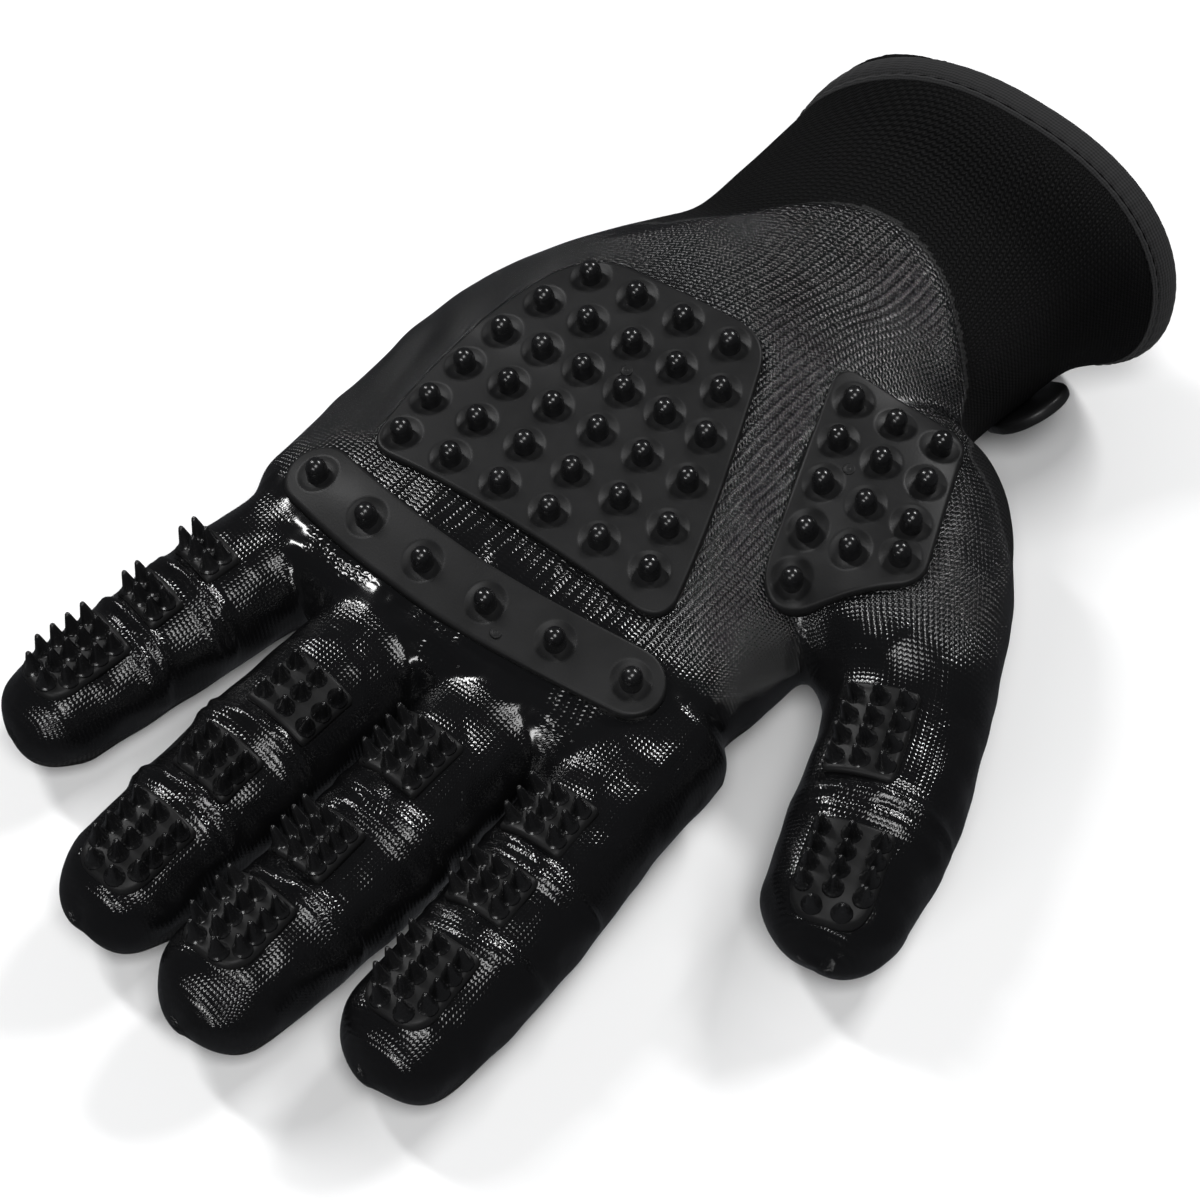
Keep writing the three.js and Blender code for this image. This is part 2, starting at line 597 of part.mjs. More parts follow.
const cuff = new THREE.Group();
cuff.position.set(WRIST.base[0], WRIST.base[1], 0);
cuff.rotation.z = degrees(WRIST.yaw);
cuff.add(named('wrist_sleeve', wristSleeve(), 'cuff'));
cuff.add(named('cuff_knit', cuffKnit(), 'cuff'));
cuff.add(named('cuff_binding', cuffBinding(), 'binding'));
const hookLift = LOOP_PATCH.lift + LOOP_PATCH.thickness + CLEARANCE;
const strapLift = hookLift + HOOK_PATCH.thickness + CLEARANCE;
cuff.add(named('loop_patch', bandOnCuff(STRAP.patch, STRAP.to - 1, LOOP_PATCH.lift, LOOP_PATCH.thickness,
  LOOP_PATCH.halfWidth), 'strap'));
cuff.add(named('hook_patch', bandOnCuff(STRAP.patch, STRAP.to - 1, hookLift, HOOK_PATCH.thickness,
  HOOK_PATCH.halfWidth), 'strap'));
cuff.add(named('strap_anchor', bandOnCuff(STRAP.anchor, STRAP.from - 0.1, LOOP_PATCH.lift,
  strapLift + STRAP.thickness - LOOP_PATCH.lift, STRAP.width / 2), 'strap'));
cuff.add(named('wrist_strap', bandOnCuff(STRAP.from, STRAP.to, strapLift, STRAP.thickness,
  STRAP.width / 2), 'strap'));
cuff.add(named('strap_tab', strapTab(strapLift), 'rubber'));
glove.add(cuff);

export default glove;
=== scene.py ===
"""Looks of the left-hand grooming glove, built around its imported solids.

Shapes are worked out in millimetres in the row frame and written to Blender in metres.
"""
import json
import math
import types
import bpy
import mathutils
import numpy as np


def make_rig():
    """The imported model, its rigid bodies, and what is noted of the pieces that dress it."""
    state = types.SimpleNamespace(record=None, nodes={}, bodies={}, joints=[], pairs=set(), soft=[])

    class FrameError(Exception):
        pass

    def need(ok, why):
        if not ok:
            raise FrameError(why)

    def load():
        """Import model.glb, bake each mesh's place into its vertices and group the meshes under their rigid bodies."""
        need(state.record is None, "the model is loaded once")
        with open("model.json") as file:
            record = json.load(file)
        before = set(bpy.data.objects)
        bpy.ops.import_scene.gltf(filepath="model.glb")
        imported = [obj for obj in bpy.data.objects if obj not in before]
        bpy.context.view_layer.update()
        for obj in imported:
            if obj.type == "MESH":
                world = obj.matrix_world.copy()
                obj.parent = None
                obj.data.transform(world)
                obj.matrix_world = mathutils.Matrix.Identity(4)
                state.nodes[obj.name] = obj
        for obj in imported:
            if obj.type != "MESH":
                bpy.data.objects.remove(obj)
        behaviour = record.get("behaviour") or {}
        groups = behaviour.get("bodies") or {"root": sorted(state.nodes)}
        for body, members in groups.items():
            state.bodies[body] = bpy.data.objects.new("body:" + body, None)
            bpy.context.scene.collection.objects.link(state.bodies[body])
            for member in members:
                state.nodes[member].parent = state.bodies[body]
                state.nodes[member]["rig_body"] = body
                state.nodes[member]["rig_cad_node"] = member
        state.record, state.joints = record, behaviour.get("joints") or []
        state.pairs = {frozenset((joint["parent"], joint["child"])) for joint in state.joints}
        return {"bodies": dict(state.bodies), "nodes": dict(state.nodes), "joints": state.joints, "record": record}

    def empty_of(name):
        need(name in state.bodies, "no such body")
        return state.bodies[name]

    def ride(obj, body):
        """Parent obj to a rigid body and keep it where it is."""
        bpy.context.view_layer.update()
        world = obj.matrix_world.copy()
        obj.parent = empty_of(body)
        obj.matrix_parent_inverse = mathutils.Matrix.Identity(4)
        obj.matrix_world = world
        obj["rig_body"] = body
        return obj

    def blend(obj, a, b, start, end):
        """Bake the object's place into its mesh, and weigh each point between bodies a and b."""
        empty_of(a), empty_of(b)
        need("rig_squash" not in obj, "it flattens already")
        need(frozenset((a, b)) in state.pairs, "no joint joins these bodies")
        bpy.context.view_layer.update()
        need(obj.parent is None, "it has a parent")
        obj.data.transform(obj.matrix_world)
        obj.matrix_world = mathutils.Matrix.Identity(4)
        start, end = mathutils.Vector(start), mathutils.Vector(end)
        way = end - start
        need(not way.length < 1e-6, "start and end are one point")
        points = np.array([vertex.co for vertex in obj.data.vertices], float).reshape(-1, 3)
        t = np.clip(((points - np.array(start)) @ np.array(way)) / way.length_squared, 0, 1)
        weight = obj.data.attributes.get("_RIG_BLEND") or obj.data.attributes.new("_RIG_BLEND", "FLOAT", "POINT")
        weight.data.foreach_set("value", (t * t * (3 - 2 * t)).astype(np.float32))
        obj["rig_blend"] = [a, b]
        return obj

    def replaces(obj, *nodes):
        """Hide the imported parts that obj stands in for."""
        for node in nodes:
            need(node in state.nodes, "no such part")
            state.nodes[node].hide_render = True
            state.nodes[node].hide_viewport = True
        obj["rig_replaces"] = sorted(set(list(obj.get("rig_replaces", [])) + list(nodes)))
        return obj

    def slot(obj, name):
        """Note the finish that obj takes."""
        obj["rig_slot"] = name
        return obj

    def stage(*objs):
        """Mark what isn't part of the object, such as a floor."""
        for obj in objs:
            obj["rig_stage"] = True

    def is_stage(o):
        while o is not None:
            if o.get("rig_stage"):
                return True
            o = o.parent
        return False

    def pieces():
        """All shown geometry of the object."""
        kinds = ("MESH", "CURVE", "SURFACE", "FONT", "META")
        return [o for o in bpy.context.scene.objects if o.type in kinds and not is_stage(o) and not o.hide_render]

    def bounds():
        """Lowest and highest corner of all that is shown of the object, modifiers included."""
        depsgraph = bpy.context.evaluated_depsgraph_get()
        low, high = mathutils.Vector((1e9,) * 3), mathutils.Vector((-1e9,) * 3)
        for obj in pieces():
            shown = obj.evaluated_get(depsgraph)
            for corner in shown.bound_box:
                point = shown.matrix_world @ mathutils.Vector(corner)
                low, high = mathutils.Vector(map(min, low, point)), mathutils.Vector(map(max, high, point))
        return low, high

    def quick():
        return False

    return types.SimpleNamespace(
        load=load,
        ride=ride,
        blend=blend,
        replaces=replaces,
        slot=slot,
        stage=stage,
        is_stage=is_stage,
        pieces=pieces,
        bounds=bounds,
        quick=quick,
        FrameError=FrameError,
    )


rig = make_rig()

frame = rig.load()

import bpy
import numpy as np
import openvdb
from mathutils.geometry import delaunay_2d_cdt
from mathutils import Vector

MM = 0.001
TURN = 2 * math.pi
cad_box = [list(corner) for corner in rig.bounds()]
VOXEL = 1.3 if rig.quick() else 0.8
WALL = 1.9                     # knit and coating together
FAR = 30.0                     # signed distances are cut off here
HEEL_REACH = 1.6               # how softly the heel runs into the hand
THUMB_REACH, FINGER_REACH = 6.5, 4.5
DIGIT_REACH = 1.8              # and the digits into each other

# ------------------------------ the hand's form
# A finger points along -Y turned by `yaw`; a station is (t, x, z, half width, half height) at distance t
# from its first joint. The last station starts the round tip, `rooted` is how far the finger runs back into
# the palm, and `window` is where its first joint bends. A pad is (t, length, width, roll, rows of cones).
FINGERS = {
    "index": dict(
        yaw=-3.7, tip=11.9, rooted=20, window=(-9.0, 4.5),
        stations=[(0, 0, 15.4, 12.5, 12.2), (19.3, 0.8, 14.6, 13.0, 12.1), (36.2, 1.0, 13.8, 12.7, 11.7),
                  (52.6, 0, 12.6, 12.3, 11.4)],
        pads=[(10.7, 12, 13.6, -16, (3, 3, 3)), (27.5, 11, 13.2, -16, (3, 3, 3)),
              (48.5, 18, 14.4, -10, (3, 3, 3, 3, 2))]),
    "middle": dict(
        yaw=-8.4, tip=12.9, rooted=26, window=(-4.0, 7.0),
        stations=[(0, 0, 16.0, 12.5, 12.5), (26.2, 1.3, 15.1, 13.2, 12.4), (46.9, 1.2, 14.1, 12.9, 12.1),
                  (62.2, 0, 12.9, 12.6, 11.9)],
        pads=[(14.2, 13.5, 14.0, -15, (3, 3, 3, 3)), (37.6, 12.5, 13.0, -19, (3, 3, 3, 3)),
              (58.0, 17, 14.8, -14, (3, 3, 3, 3, 2))]),
    "ring": dict(
        yaw=-9.1, tip=12.3, rooted=26, window=(-4.0, 8.0),
        stations=[(0, 0, 15.6, 12.5, 12.3), (24.9, 0, 14.8, 12.9, 12.2), (42.3, 0, 13.6, 12.3, 11.7),
                  (56.5, 0, 12.3, 12.0, 11.3)],
        pads=[(14.9, 13, 14.2, 8, (3, 3, 3)), (33.7, 10.5, 13.0, 0, (3, 3, 3)),
              (54.5, 18, 14.0, 0, (3, 3, 3, 3, 2))]),
    "little": dict(
        yaw=-18.4, tip=11.2, rooted=22, window=(-7.0, 4.0),
        stations=[(0, 0, 14.8, 11.8, 11.8), (14.3, 0, 13.8, 11.8, 11.4), (27.1, 0, 12.6, 11.3, 10.8),
                  (42.7, 0, 11.5, 10.7, 10.2)],
        pads=[(7.9, 7.5, 11.4, -16, (3, 3)), (20.9, 7.5, 11.6, -13, (3, 3)),
              (38.5, 18, 12.4, -10, (3, 3, 3, 3, 2))]),
    "thumb": dict(
        yaw=14.9, tip=12.8, rooted=0, window=(-7.0, 2.8),
        stations=[(0, 0.5, 16.8, 15.6, 13.8), (25.4, 1.7, 14.8, 14.6, 13.2), (38.8, 0.6, 13.8, 13.3, 12.4)],
        pads=[(12, 18, 13.4, -15, (3, 3, 3, 3)), (39.2, 18.5, 15.0, 0, (3, 3, 3, 3, 2))]),
}
SEGMENTS = {name: ("proximal", "middle", "distal") for name in ("index", "middle", "ring", "little")}
SEGMENTS["thumb"] = ("proximal", "distal")

# Palm: x, y, z, half width, half height, yaw, from the wrist to the roots of the fingers
PALM = [
    (6.2, 55, 20.6, 36.6, 17.2, -9), (3, 46, 20.0, 41, 18.2, -8), (-1, 34, 18.6, 46.5, 18.4, -5),
    (-3.6, 20, 17.6, 49.6, 18.0, -2), (-5.6, 4, 16.9, 50.1, 17.4, 0), (-8, -12, 16.5, 49.7, 16.8, 0),
    (-9.9, -26, 16.8, 48.2, 15.2, -3), (-9.8, -36.5, 16.4, 44.5, 12.2, -6),
]
THUMB_BALL = [
    (24, 45, 19.5, 14, 13, 46), (36, 37, 19.6, 21.5, 17.6, 43), (49.5, 22, 19.2, 21.5, 17.4, 37),
    (58.6, 9.5, 18.2, 18.4, 15.8, 26),
]
# Cuff: t, x, z, half width, half height, in a frame over the wrist joint with +Y along the forearm
CUFF = [(48, 9.2, 28.2, 38.0, 26.4), (36, 7.9, 28.0, 38.0, 26.2), (24, 3.5, 25.2, 35.5, 18.8),
        (12, 1.4, 22.0, 35.0, 16.0), (0, 0, 20.4, 35.0, 15.0)]
# Heel of the palm, carried on over the wrist as far as the edge of the coating
HEEL = [(20, 2.4, 21.6, 33.0, 18.2), (12, 1.4, 21.4, 34.0, 18.4), (0, 0, 20.8, 35.6, 17.4)]
FINGER_ROUNDNESS = 2.25
PALM_ROUNDNESS = 2.6
# Rim: distance from the wrist joint, and how far it leans out on the thumb side and on the palm side
RIM = dict(t=36.7, thumb_side=5.0, palm_side=4.6, crown=3.1)

joints = {joint["name"]: joint for joint in frame["joints"]}


def joint_xy(name):
    return np.array(joints[name]["pos_m"][:2]) / MM


def turned(yaw):
    """Unit vectors across and ahead (towards the fingers) of something turned by yaw degrees."""
    a = math.radians(yaw)
    return np.array([math.cos(a), math.sin(a)]), np.array([math.sin(a), -math.cos(a)])


WRIST = joint_xy("wrist_bend")
WRIST_YAW = -9
WRIST_ACROSS, WRIST_AHEAD = turned(WRIST_YAW)
for name, finger in FINGERS.items():
    finger["across"], finger["ahead"] = turned(finger["yaw"])
    first = finger["stations"][0]
    finger["base"] = joint_xy(f"{name}_proximal_flex") - finger["across"] * first[1]


def cuff_row(t, x, z, half_width, half_height):
    at = WRIST + WRIST_ACROSS * x - WRIST_AHEAD * t
    return (at[0], at[1], z, half_width, half_height, WRIST_YAW, FINGER_ROUNDNESS)


def finger_rows(finger):
    rows = []
    for t, x, z, half_width, half_height in finger["stations"]:
        at = finger["base"] + finger["across"] * x + finger["ahead"] * t
        rows.append((at[0], at[1], z, half_width, half_height, finger["yaw"], FINGER_ROUNDNESS))
    if finger["rooted"]:
        x, y, *rest = rows[0]
        back = finger["ahead"] * finger["rooted"]
        rows.insert(0, (x - back[0], y - back[1], *rest))
    return rows


def smooth_step(low, high, x):
    part = np.clip((x - low) / (high - low), 0, 1)
    return part * part * (3 - 2 * part)


def smooth_min(a, b, reach):
    near = np.clip(reach - np.abs(a - b), 0, None) / reach
    return np.minimum(a, b) - near * near * reach / 4


def smooth_max(a, b, reach):
    return -smooth_min(-a, -b, reach)


class Tube:
    """A form through rows of x, y, z, half width, half height, yaw, roundness, with domed ends."""

    def __init__(self, rows, start_dome, end_dome):
        self.rows = np.array(rows, float)
        steps = np.hypot(*np.diff(self.rows[:, :2], axis=0).T)
        self.knots = np.concatenate([[0], np.cumsum(steps)])
        self.slopes = np.gradient(self.rows, self.knots, axis=0)
        self.domes = (start_dome, end_dome)
        reach = self.rows[:, 3].max() + max(self.domes) + 9
        self.low = np.array([*(self.rows[:, :2].min(0) - reach), -6.0])
        top = (self.rows[:, 2] + self.rows[:, 4]).max() + 9
        self.high = np.array([*(self.rows[:, :2].max(0) + reach), top])

    def at(self, s):
        i = np.clip(np.searchsorted(self.knots, s, side="right") - 1, 0, len(self.knots) - 2)
        h = (self.knots[i + 1] - self.knots[i])[..., None]
        f = np.clip((s - self.knots[i])[..., None] / h, 0, 1)
        a, b = self.rows[i], self.rows[i + 1]
        u, v = self.slopes[i] * h, self.slopes[i + 1] * h
        return a + f * (u + f * (3 * (b - a) - 2 * u - v + f * (2 * (a - b) + u + v)))

    def plane_offset(self, row, x, y):
        yaw = np.radians(row[..., 5])
        dx, dy = x - row[..., 0], y - row[..., 1]
        ahead = dx * np.sin(yaw) - dy * np.cos(yaw)
        across = dx * np.cos(yaw) + dy * np.sin(yaw)
        return ahead, across

    def place(self, x, y):
        """Distance along, overshoot past either end, distance across, and the section there."""
        low = np.zeros(x.shape)
        high = np.full(x.shape, self.knots[-1])
        for _ in range(18):
            middle = (low + high) / 2
            beyond = self.plane_offset(self.at(middle), x, y)[0] > 0
            low = np.where(beyond, middle, low)
            high = np.where(beyond, high, middle)
        s = (low + high) / 2
        row = self.at(s)
        ahead, across = self.plane_offset(row, x, y)
        tolerance = 0.01               # this close to an end counts as past it
        over = np.where(s > self.knots[-1] - tolerance, np.clip(ahead, 0, None), 0)
        under = np.where(s < tolerance, np.clip(-ahead, 0, None), 0)
        return s, over, under, across, row

    def distance(self, x, y, z):
        """Signed distance, close to true near the surface; x and y may be columns against z."""
        s, over, under, across, row = self.place(x, y)
        if z.ndim > x.ndim:
            over, under, across = (v[..., None] for v in (over, under, across))
            row = row[..., None, :]
        centre, a, b, n = (row[..., k] for k in (2, 3, 4, 6))
        wide = np.abs(across) / a
        tall = np.abs(z - centre) / b
        section = np.maximum(wide ** n + tall ** n, 1e-9) ** (1 / n)
        end = over / self.domes[1] + under / self.domes[0]
        value = np.sqrt(section ** 2 + end ** 2)
        scale = section ** (1 - n)
        grad = np.hypot(scale * wide ** (n - 1) / a, scale * tall ** (n - 1) / b) * section
        dome = np.where(over > 0, self.domes[1], self.domes[0])
        grad = np.hypot(grad, end / dome) / np.maximum(value, 1e-6)
        return np.clip((value - 1) / np.maximum(grad, 1e-4), -14, FAR)


hand_rows = [cuff_row(*row) for row in CUFF] + [(*row, PALM_ROUNDNESS) for row in PALM]
HAND = Tube(hand_rows, 3, 7.5)
heel_rows = [cuff_row(*row) for row in HEEL] + [(*row, PALM_ROUNDNESS) for row in PALM[:4]]
HEEL_FORM = Tube(heel_rows, 3, 12)
DIGITS = {}
for name, finger in FINGERS.items():
    rows = finger_rows(finger)
    if name == "thumb":
        rows = [(*row, FINGER_ROUNDNESS) for row in THUMB_BALL] + rows
    DIGITS[name] = Tube(rows, 5, finger["tip"])


def wrist_place(x, y):
    """Distances across and towards the forearm from the wrist joint."""
    dx, dy = x - WRIST[0], y - WRIST[1]
    return dx * WRIST_ACROSS[0] + dy * WRIST_ACROSS[1], -(dx * WRIST_AHEAD[0] + dy * WRIST_AHEAD[1])


def coat_edge(across, height):
    """How far over the wrist the coating runs, at a distance across and a height."""
    off = across - 3
    edge = 13.6 - np.where(off < 0, 0.022, 0.016) * off * off
    return edge - 0.9 * np.clip(30 - height, 0, 30)


def heel_distance(x, y, z):
    distance = HEEL_FORM.distance(x, y, z)
    across, t = wrist_place(x, y)
    if z.ndim > x.ndim:
        across, t = across[..., None], t[..., None]
    return smooth_max(distance, (t - coat_edge(across, z)) * 0.8, 3.2)


def boxed(tube, x, y, z, distance=None):
    """Distance to a form inside its own box, and far away elsewhere."""
    out = np.full(x.shape, FAR)
    distance = distance or tube.distance
    inside = (x > tube.low[0]) & (x < tube.high[0]) & (y > tube.low[1]) & (y < tube.high[1])
    if inside.any():
        out[inside] = distance(x[inside], y[inside], z[inside])
    return out


def joined(body, digits):
    """The palm and the digits as one form, with soft webs between."""
    out = None
    for name, digit in digits.items():
        grown = smooth_min(body, digit, THUMB_REACH if name == "thumb" else FINGER_REACH)
        out = grown if out is None else smooth_min(out, grown, DIGIT_REACH)
    return out


def body_distance(x, y, z):
    return smooth_min(boxed(HAND, x, y, z), boxed(HEEL_FORM, x, y, z, heel_distance), HEEL_REACH)


def skin_distance(points):
    """Signed distance to the glove's outer form at points, before its folds."""
    x, y, z = points.T
    return joined(body_distance(x, y, z), {name: boxed(tube, x, y, z) for name, tube in DIGITS.items()})


def grid_distance(low, shape):
    """The same on a whole grid, one column of x and y at a time."""
    axes = [low[k] + VOXEL * np.arange(shape[k]) for k in range(3)]
    z = axes[2][None, None, :]

    def on_grid(form, tube):
        out = np.full(shape, FAR, np.float32)
        cut = [np.where((axes[k] > tube.low[k]) & (axes[k] < tube.high[k]))[0] for k in range(2)]
        (x0, x1), (y0, y1) = [(c[0], c[-1] + 1) for c in cut]
        x, y = np.meshgrid(axes[0][x0:x1], axes[1][y0:y1], indexing="ij")
        out[x0:x1, y0:y1] = form(x, y, z)
        return out

    body = smooth_min(on_grid(HAND.distance, HAND), on_grid(heel_distance, HEEL_FORM), HEEL_REACH)
    return joined(body, {name: on_grid(tube.distance, tube) for name, tube in DIGITS.items()})


def rim_line(angle):
    """The rim's distance from the wrist joint at an angle round the cuff."""
    height = np.sin(angle)
    lean = RIM["thumb_side"] * np.cos(angle) + RIM["palm_side"] * height
    return RIM["t"] + lean + RIM["crown"] * height ** 2


def cuff_angle(across, z):
    """Angle round the cuff, about its section halfway to the rim."""
    x, centre, a, b = CUFF[2][1:]
    return np.arctan2((z - centre) / b, (across - x) / a)


# ------------------------------ meshes


def linked(name, mesh, material):
    mesh.materials.append(material)
    obj = bpy.data.objects.new(name, mesh)
    bpy.context.scene.collection.objects.link(obj)
    return obj


def new_object(name, points, faces, material):
    mesh = bpy.data.meshes.new(name)
    mesh.from_pydata((np.asarray(points) * MM).tolist(), [], [list(map(int, f)) for f in faces])
    mesh.shade_smooth()
    return linked(name, mesh, material)


def quads_mesh(name, points, quads, material):
    mesh = bpy.data.meshes.new(name)
    mesh.vertices.add(len(points))
    mesh.vertices.foreach_set("co", (points * MM).astype(np.float32).ravel())
    mesh.loops.add(quads.size)
    mesh.loops.foreach_set("vertex_index", quads.astype(np.int32).ravel())
    mesh.polygons.add(len(quads))
    mesh.polygons.foreach_set("loop_start", np.arange(0, quads.size, 4, dtype=np.int32))
    mesh.update(calc_edges=True)
    mesh.shade_smooth()
    return linked(name, mesh, material)


def store(obj, domain, name, values):
    """Keeps three numbers for each corner or point of the mesh, for its material."""
    attribute = obj.data.attributes.new(name, "FLOAT_VECTOR", domain)
    attribute.data.foreach_set("vector", values.astype(np.float32).ravel())


def place_piece(obj, nodes, slot, body):
    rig.replaces(obj, *nodes)
    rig.slot(obj, slot)
    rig.ride(obj, body)


def vertex_normals(points, quads):
    a, b, c, d = (points[quads[:, k]] for k in range(4))
    face = np.cross(c - a, d - b)
    normals = np.zeros_like(points)
    for k in range(4):
        np.add.at(normals, quads[:, k], face)
    return normals / np.maximum(np.linalg.norm(normals, axis=1, keepdims=True), 1e-9)


# ------------------------------ materials

class Nodes:
    """Short names for building a material's nodes."""

    def __init__(self, name):
        self.material = bpy.data.materials.new(name)
        self.material.use_nodes = True
        self.tree = self.material.node_tree
        self.shader = self.tree.nodes["Principled BSDF"]

    def node(self, kind, **settings):
        node = self.tree.nodes.new(kind)
        for key, value in settings.items():
            setattr(node, key, value)
        return node

    def put(self, socket, value):
        if isinstance(value, bpy.types.NodeSocket):
            self.tree.links.new(value, socket)
        else:
            socket.default_value = value

    def calc(self, operation, *values, clamp=False):
        node = self.node("ShaderNodeMath", operation=operation, use_clamp=clamp)
        for socket, value in zip(node.inputs, values):
            self.put(socket, value)
        return node.outputs[0]

    def times(self, a, b):
        return self.calc("MULTIPLY", a, b)

    def attribute(self, name):
        node = self.node("ShaderNodeAttribute", attribute_name=name)
        split = self.node("ShaderNodeSeparateXYZ")
        self.put(split.inputs[0], node.outputs["Vector"])
        return node.outputs["Vector"], split.outputs[0], split.outputs[1], split.outputs[2]

    def noise(self, vector, scale, detail=2.0, roughness=0.5, distortion=0.0):
        node = self.node("ShaderNodeTexNoise")
        inputs = dict(Vector=vector, Scale=scale, Detail=detail, Roughness=roughness, Distortion=distortion)
        for key, value in inputs.items():
            self.put(node.inputs[key], value)
        return node.outputs["Fac"]

    def span(self, value, from_low, from_high, to_low, to_high):
        node = self.node("ShaderNodeMapRange", clamp=True)
        for socket, v in zip(node.inputs, (value, from_low, from_high, to_low, to_high)):
            self.put(socket, v)
        return node.outputs[0]

    def mix_colour(self, part, a, b):
        node = self.node("ShaderNodeMix", data_type="RGBA")
        self.put(node.inputs[0], part)
        for socket, colour in ((node.inputs[6], a), (node.inputs[7], b)):
            self.put(socket, (*colour, 1.0) if isinstance(colour, tuple) else colour)
        return node.outputs[2]

    def bump(self, height, distance, strength=1.0, normal=None):
        node = self.node("ShaderNodeBump")
        self.put(node.inputs["Strength"], strength)
        self.put(node.inputs["Distance"], distance)
        self.put(node.inputs["Height"], height)
        if normal is not None:
            self.put(node.inputs["Normal"], normal)
        return node.outputs[0]

    def wave(self, value, pitch):
        """Ridges from 0 to 1, `pitch` apart."""
        swing = self.calc("SINE", self.times(value, TURN / pitch))
        return self.calc("MULTIPLY_ADD", swing, 0.5, 0.5)

    def stitches(self, u, v, wale, course):
        """Height of a plain knit: V-shaped stitches in columns `wale` apart, in rows `course` apart."""
        column = self.calc("FRACT", self.calc("DIVIDE", u, wale))
        leg = self.calc("ABSOLUTE", self.calc("SUBTRACT", self.times(column, 2.0), 1.0))
        slant = self.times(leg, 0.45)
        phase = self.calc("ADD", self.calc("DIVIDE", v, course), slant)
        across = self.calc("SINE", self.times(leg, math.pi))
        return self.times(self.wave(phase, 1.0), self.calc("MULTIPLY_ADD", across, 0.75, 0.25))

    def done(self, **inputs):
        for key, value in inputs.items():
            self.put(self.shader.inputs[key.replace("_", " ")], value)
        return self.material


def skin_material(name, specular):
    """Coated and bare knit in one: `finish` holds the coating, its gloss, and the black yarn's share. The colours
    carry painted shade in the stitch troughs.
    """
    m = Nodes(name)
    _, u, v, relief_share = m.attribute("knit")
    place = m.attribute("rest")[0]
    _, coat, gloss, black = m.attribute("finish")
    stitch = m.stitches(u, v, 1.0, 0.85)
    fibre = m.noise(place, 2.6, 3.0, 0.6)
    pools = m.noise(place, 0.11, 3.0, 0.55, 0.6)
    fine = m.noise(place, 1.2, 2.0, 0.6)
    glossy = m.times(coat, gloss)
    pooled = m.times(glossy, m.span(pools, 0.38, 0.55, 0.78, 1.0))
    smooth = m.span(pooled, 0.0, 1.0, 0.165, 0.115)
    uneven = m.span(pooled, 0.0, 1.0, 0.14, 0.05)
    broken = m.calc("MULTIPLY_ADD", m.calc("SUBTRACT", fine, 0.5), uneven, smooth)
    bare = m.calc("SUBTRACT", 1.0, coat)
    roughness = m.calc("MULTIPLY_ADD", bare, 0.5, broken, clamp=True)
    showing = m.times(relief_share, m.span(pooled, 0.1, 0.85, 1.0, 0.2))
    raised = m.times(stitch, showing)
    raised = m.times(raised, m.calc("MULTIPLY_ADD", m.times(black, bare), 0.9, 1.0))
    hairs = m.times(fibre, m.span(pooled, 0.0, 0.85, 0.34, 0.02))
    bump = m.bump(m.calc("ADD", raised, hairs), 0.0002)
    swell = m.noise(place, 0.11, 1.5, 0.4, 0.4)
    bump = m.bump(swell, 0.0011, glossy, bump)
    wet = (0.0035, 0.0035, 0.0038)
    # The coat, bare knit and black yarn colours are painted darker in the stitch troughs and lighter on the stitch
    # crests, following the stitch height: painted shade of the knit's relief
    dull = m.mix_colour(stitch, (0.004, 0.004, 0.0042), (0.009, 0.009, 0.0094))
    grey = m.mix_colour(stitch, (0.0045, 0.0045, 0.0048), (0.020, 0.020, 0.021))
    yarn = m.mix_colour(stitch, (0.0006, 0.0006, 0.0007), (0.0052, 0.0052, 0.0055))
    colour = m.mix_colour(coat, m.mix_colour(black, grey, yarn), m.mix_colour(glossy, dull, wet))
    return m.done(Base_Color=colour, Roughness=roughness, Normal=bump, Specular_IOR_Level=specular)


def rubber_material(name, roughness, colour, specular):
    """Moulded rubber with a slightly cloudy bloom and specks of dust."""
    m = Nodes(name)
    place = m.node("ShaderNodeTexCoord").outputs["Object"]
    cloudy = m.noise(place, 90.0, 4.0, 0.6)
    grain = m.noise(place, 2600.0, 2.0, 0.6)
    dust = m.span(m.noise(place, 1500.0, 3.0, 0.7), 0.66, 0.78, 0.0, 1.0)
    tone = m.mix_colour(m.span(cloudy, 0.3, 0.7, 0.0, 1.0), colour, tuple(c * 1.35 for c in colour))
    tone = m.mix_colour(m.times(dust, 0.12), tone, (0.05, 0.049, 0.047))
    rough = m.calc("MULTIPLY_ADD", m.calc("SUBTRACT", cloudy, 0.5), 0.22, roughness)
    rough = m.calc("ADD", rough, m.times(dust, 0.2))
    bump = m.bump(grain, 0.00003, 0.6)
    return m.done(Base_Color=tone, Roughness=rough, Normal=bump, Specular_IOR_Level=specular)


def cloth_material(name, colour, ridge, row_pitch, column_pitch, sheen):
    """Woven tape: ridges of a height in metres, at pitches in millimetres, with painted shade darkening its grooves
    and lightening its ridges.
    """
    m = Nodes(name)
    _, u, v, _ = m.attribute("knit")
    place = m.attribute("rest")[0]
    fuzz = m.noise(place, 2.2, 3.0, 0.7)
    rows = m.times(m.wave(v, row_pitch), 0.7)
    columns = m.times(m.wave(u, column_pitch), 0.35)
    height = m.calc("ADD", rows, columns)
    height = m.calc("MULTIPLY_ADD", fuzz, 0.5, height)
    # Colour follows the ridge height: painted shade, darker in the grooves and lighter on the ridges, with the fuzz
    # noise adding random tone on top
    tone = m.mix_colour(m.span(height, 0.3, 1.3, 0.0, 1.0), tuple(c * 0.45 for c in colour),
                        tuple(c * 1.5 for c in colour))
    roughness = m.span(fuzz, 0.3, 0.7, 0.8, 1.0)
    return m.done(Base_Color=tone, Roughness=roughness, Normal=m.bump(height, ridge),
                  Sheen_Weight=sheen, Specular_IOR_Level=0.2)


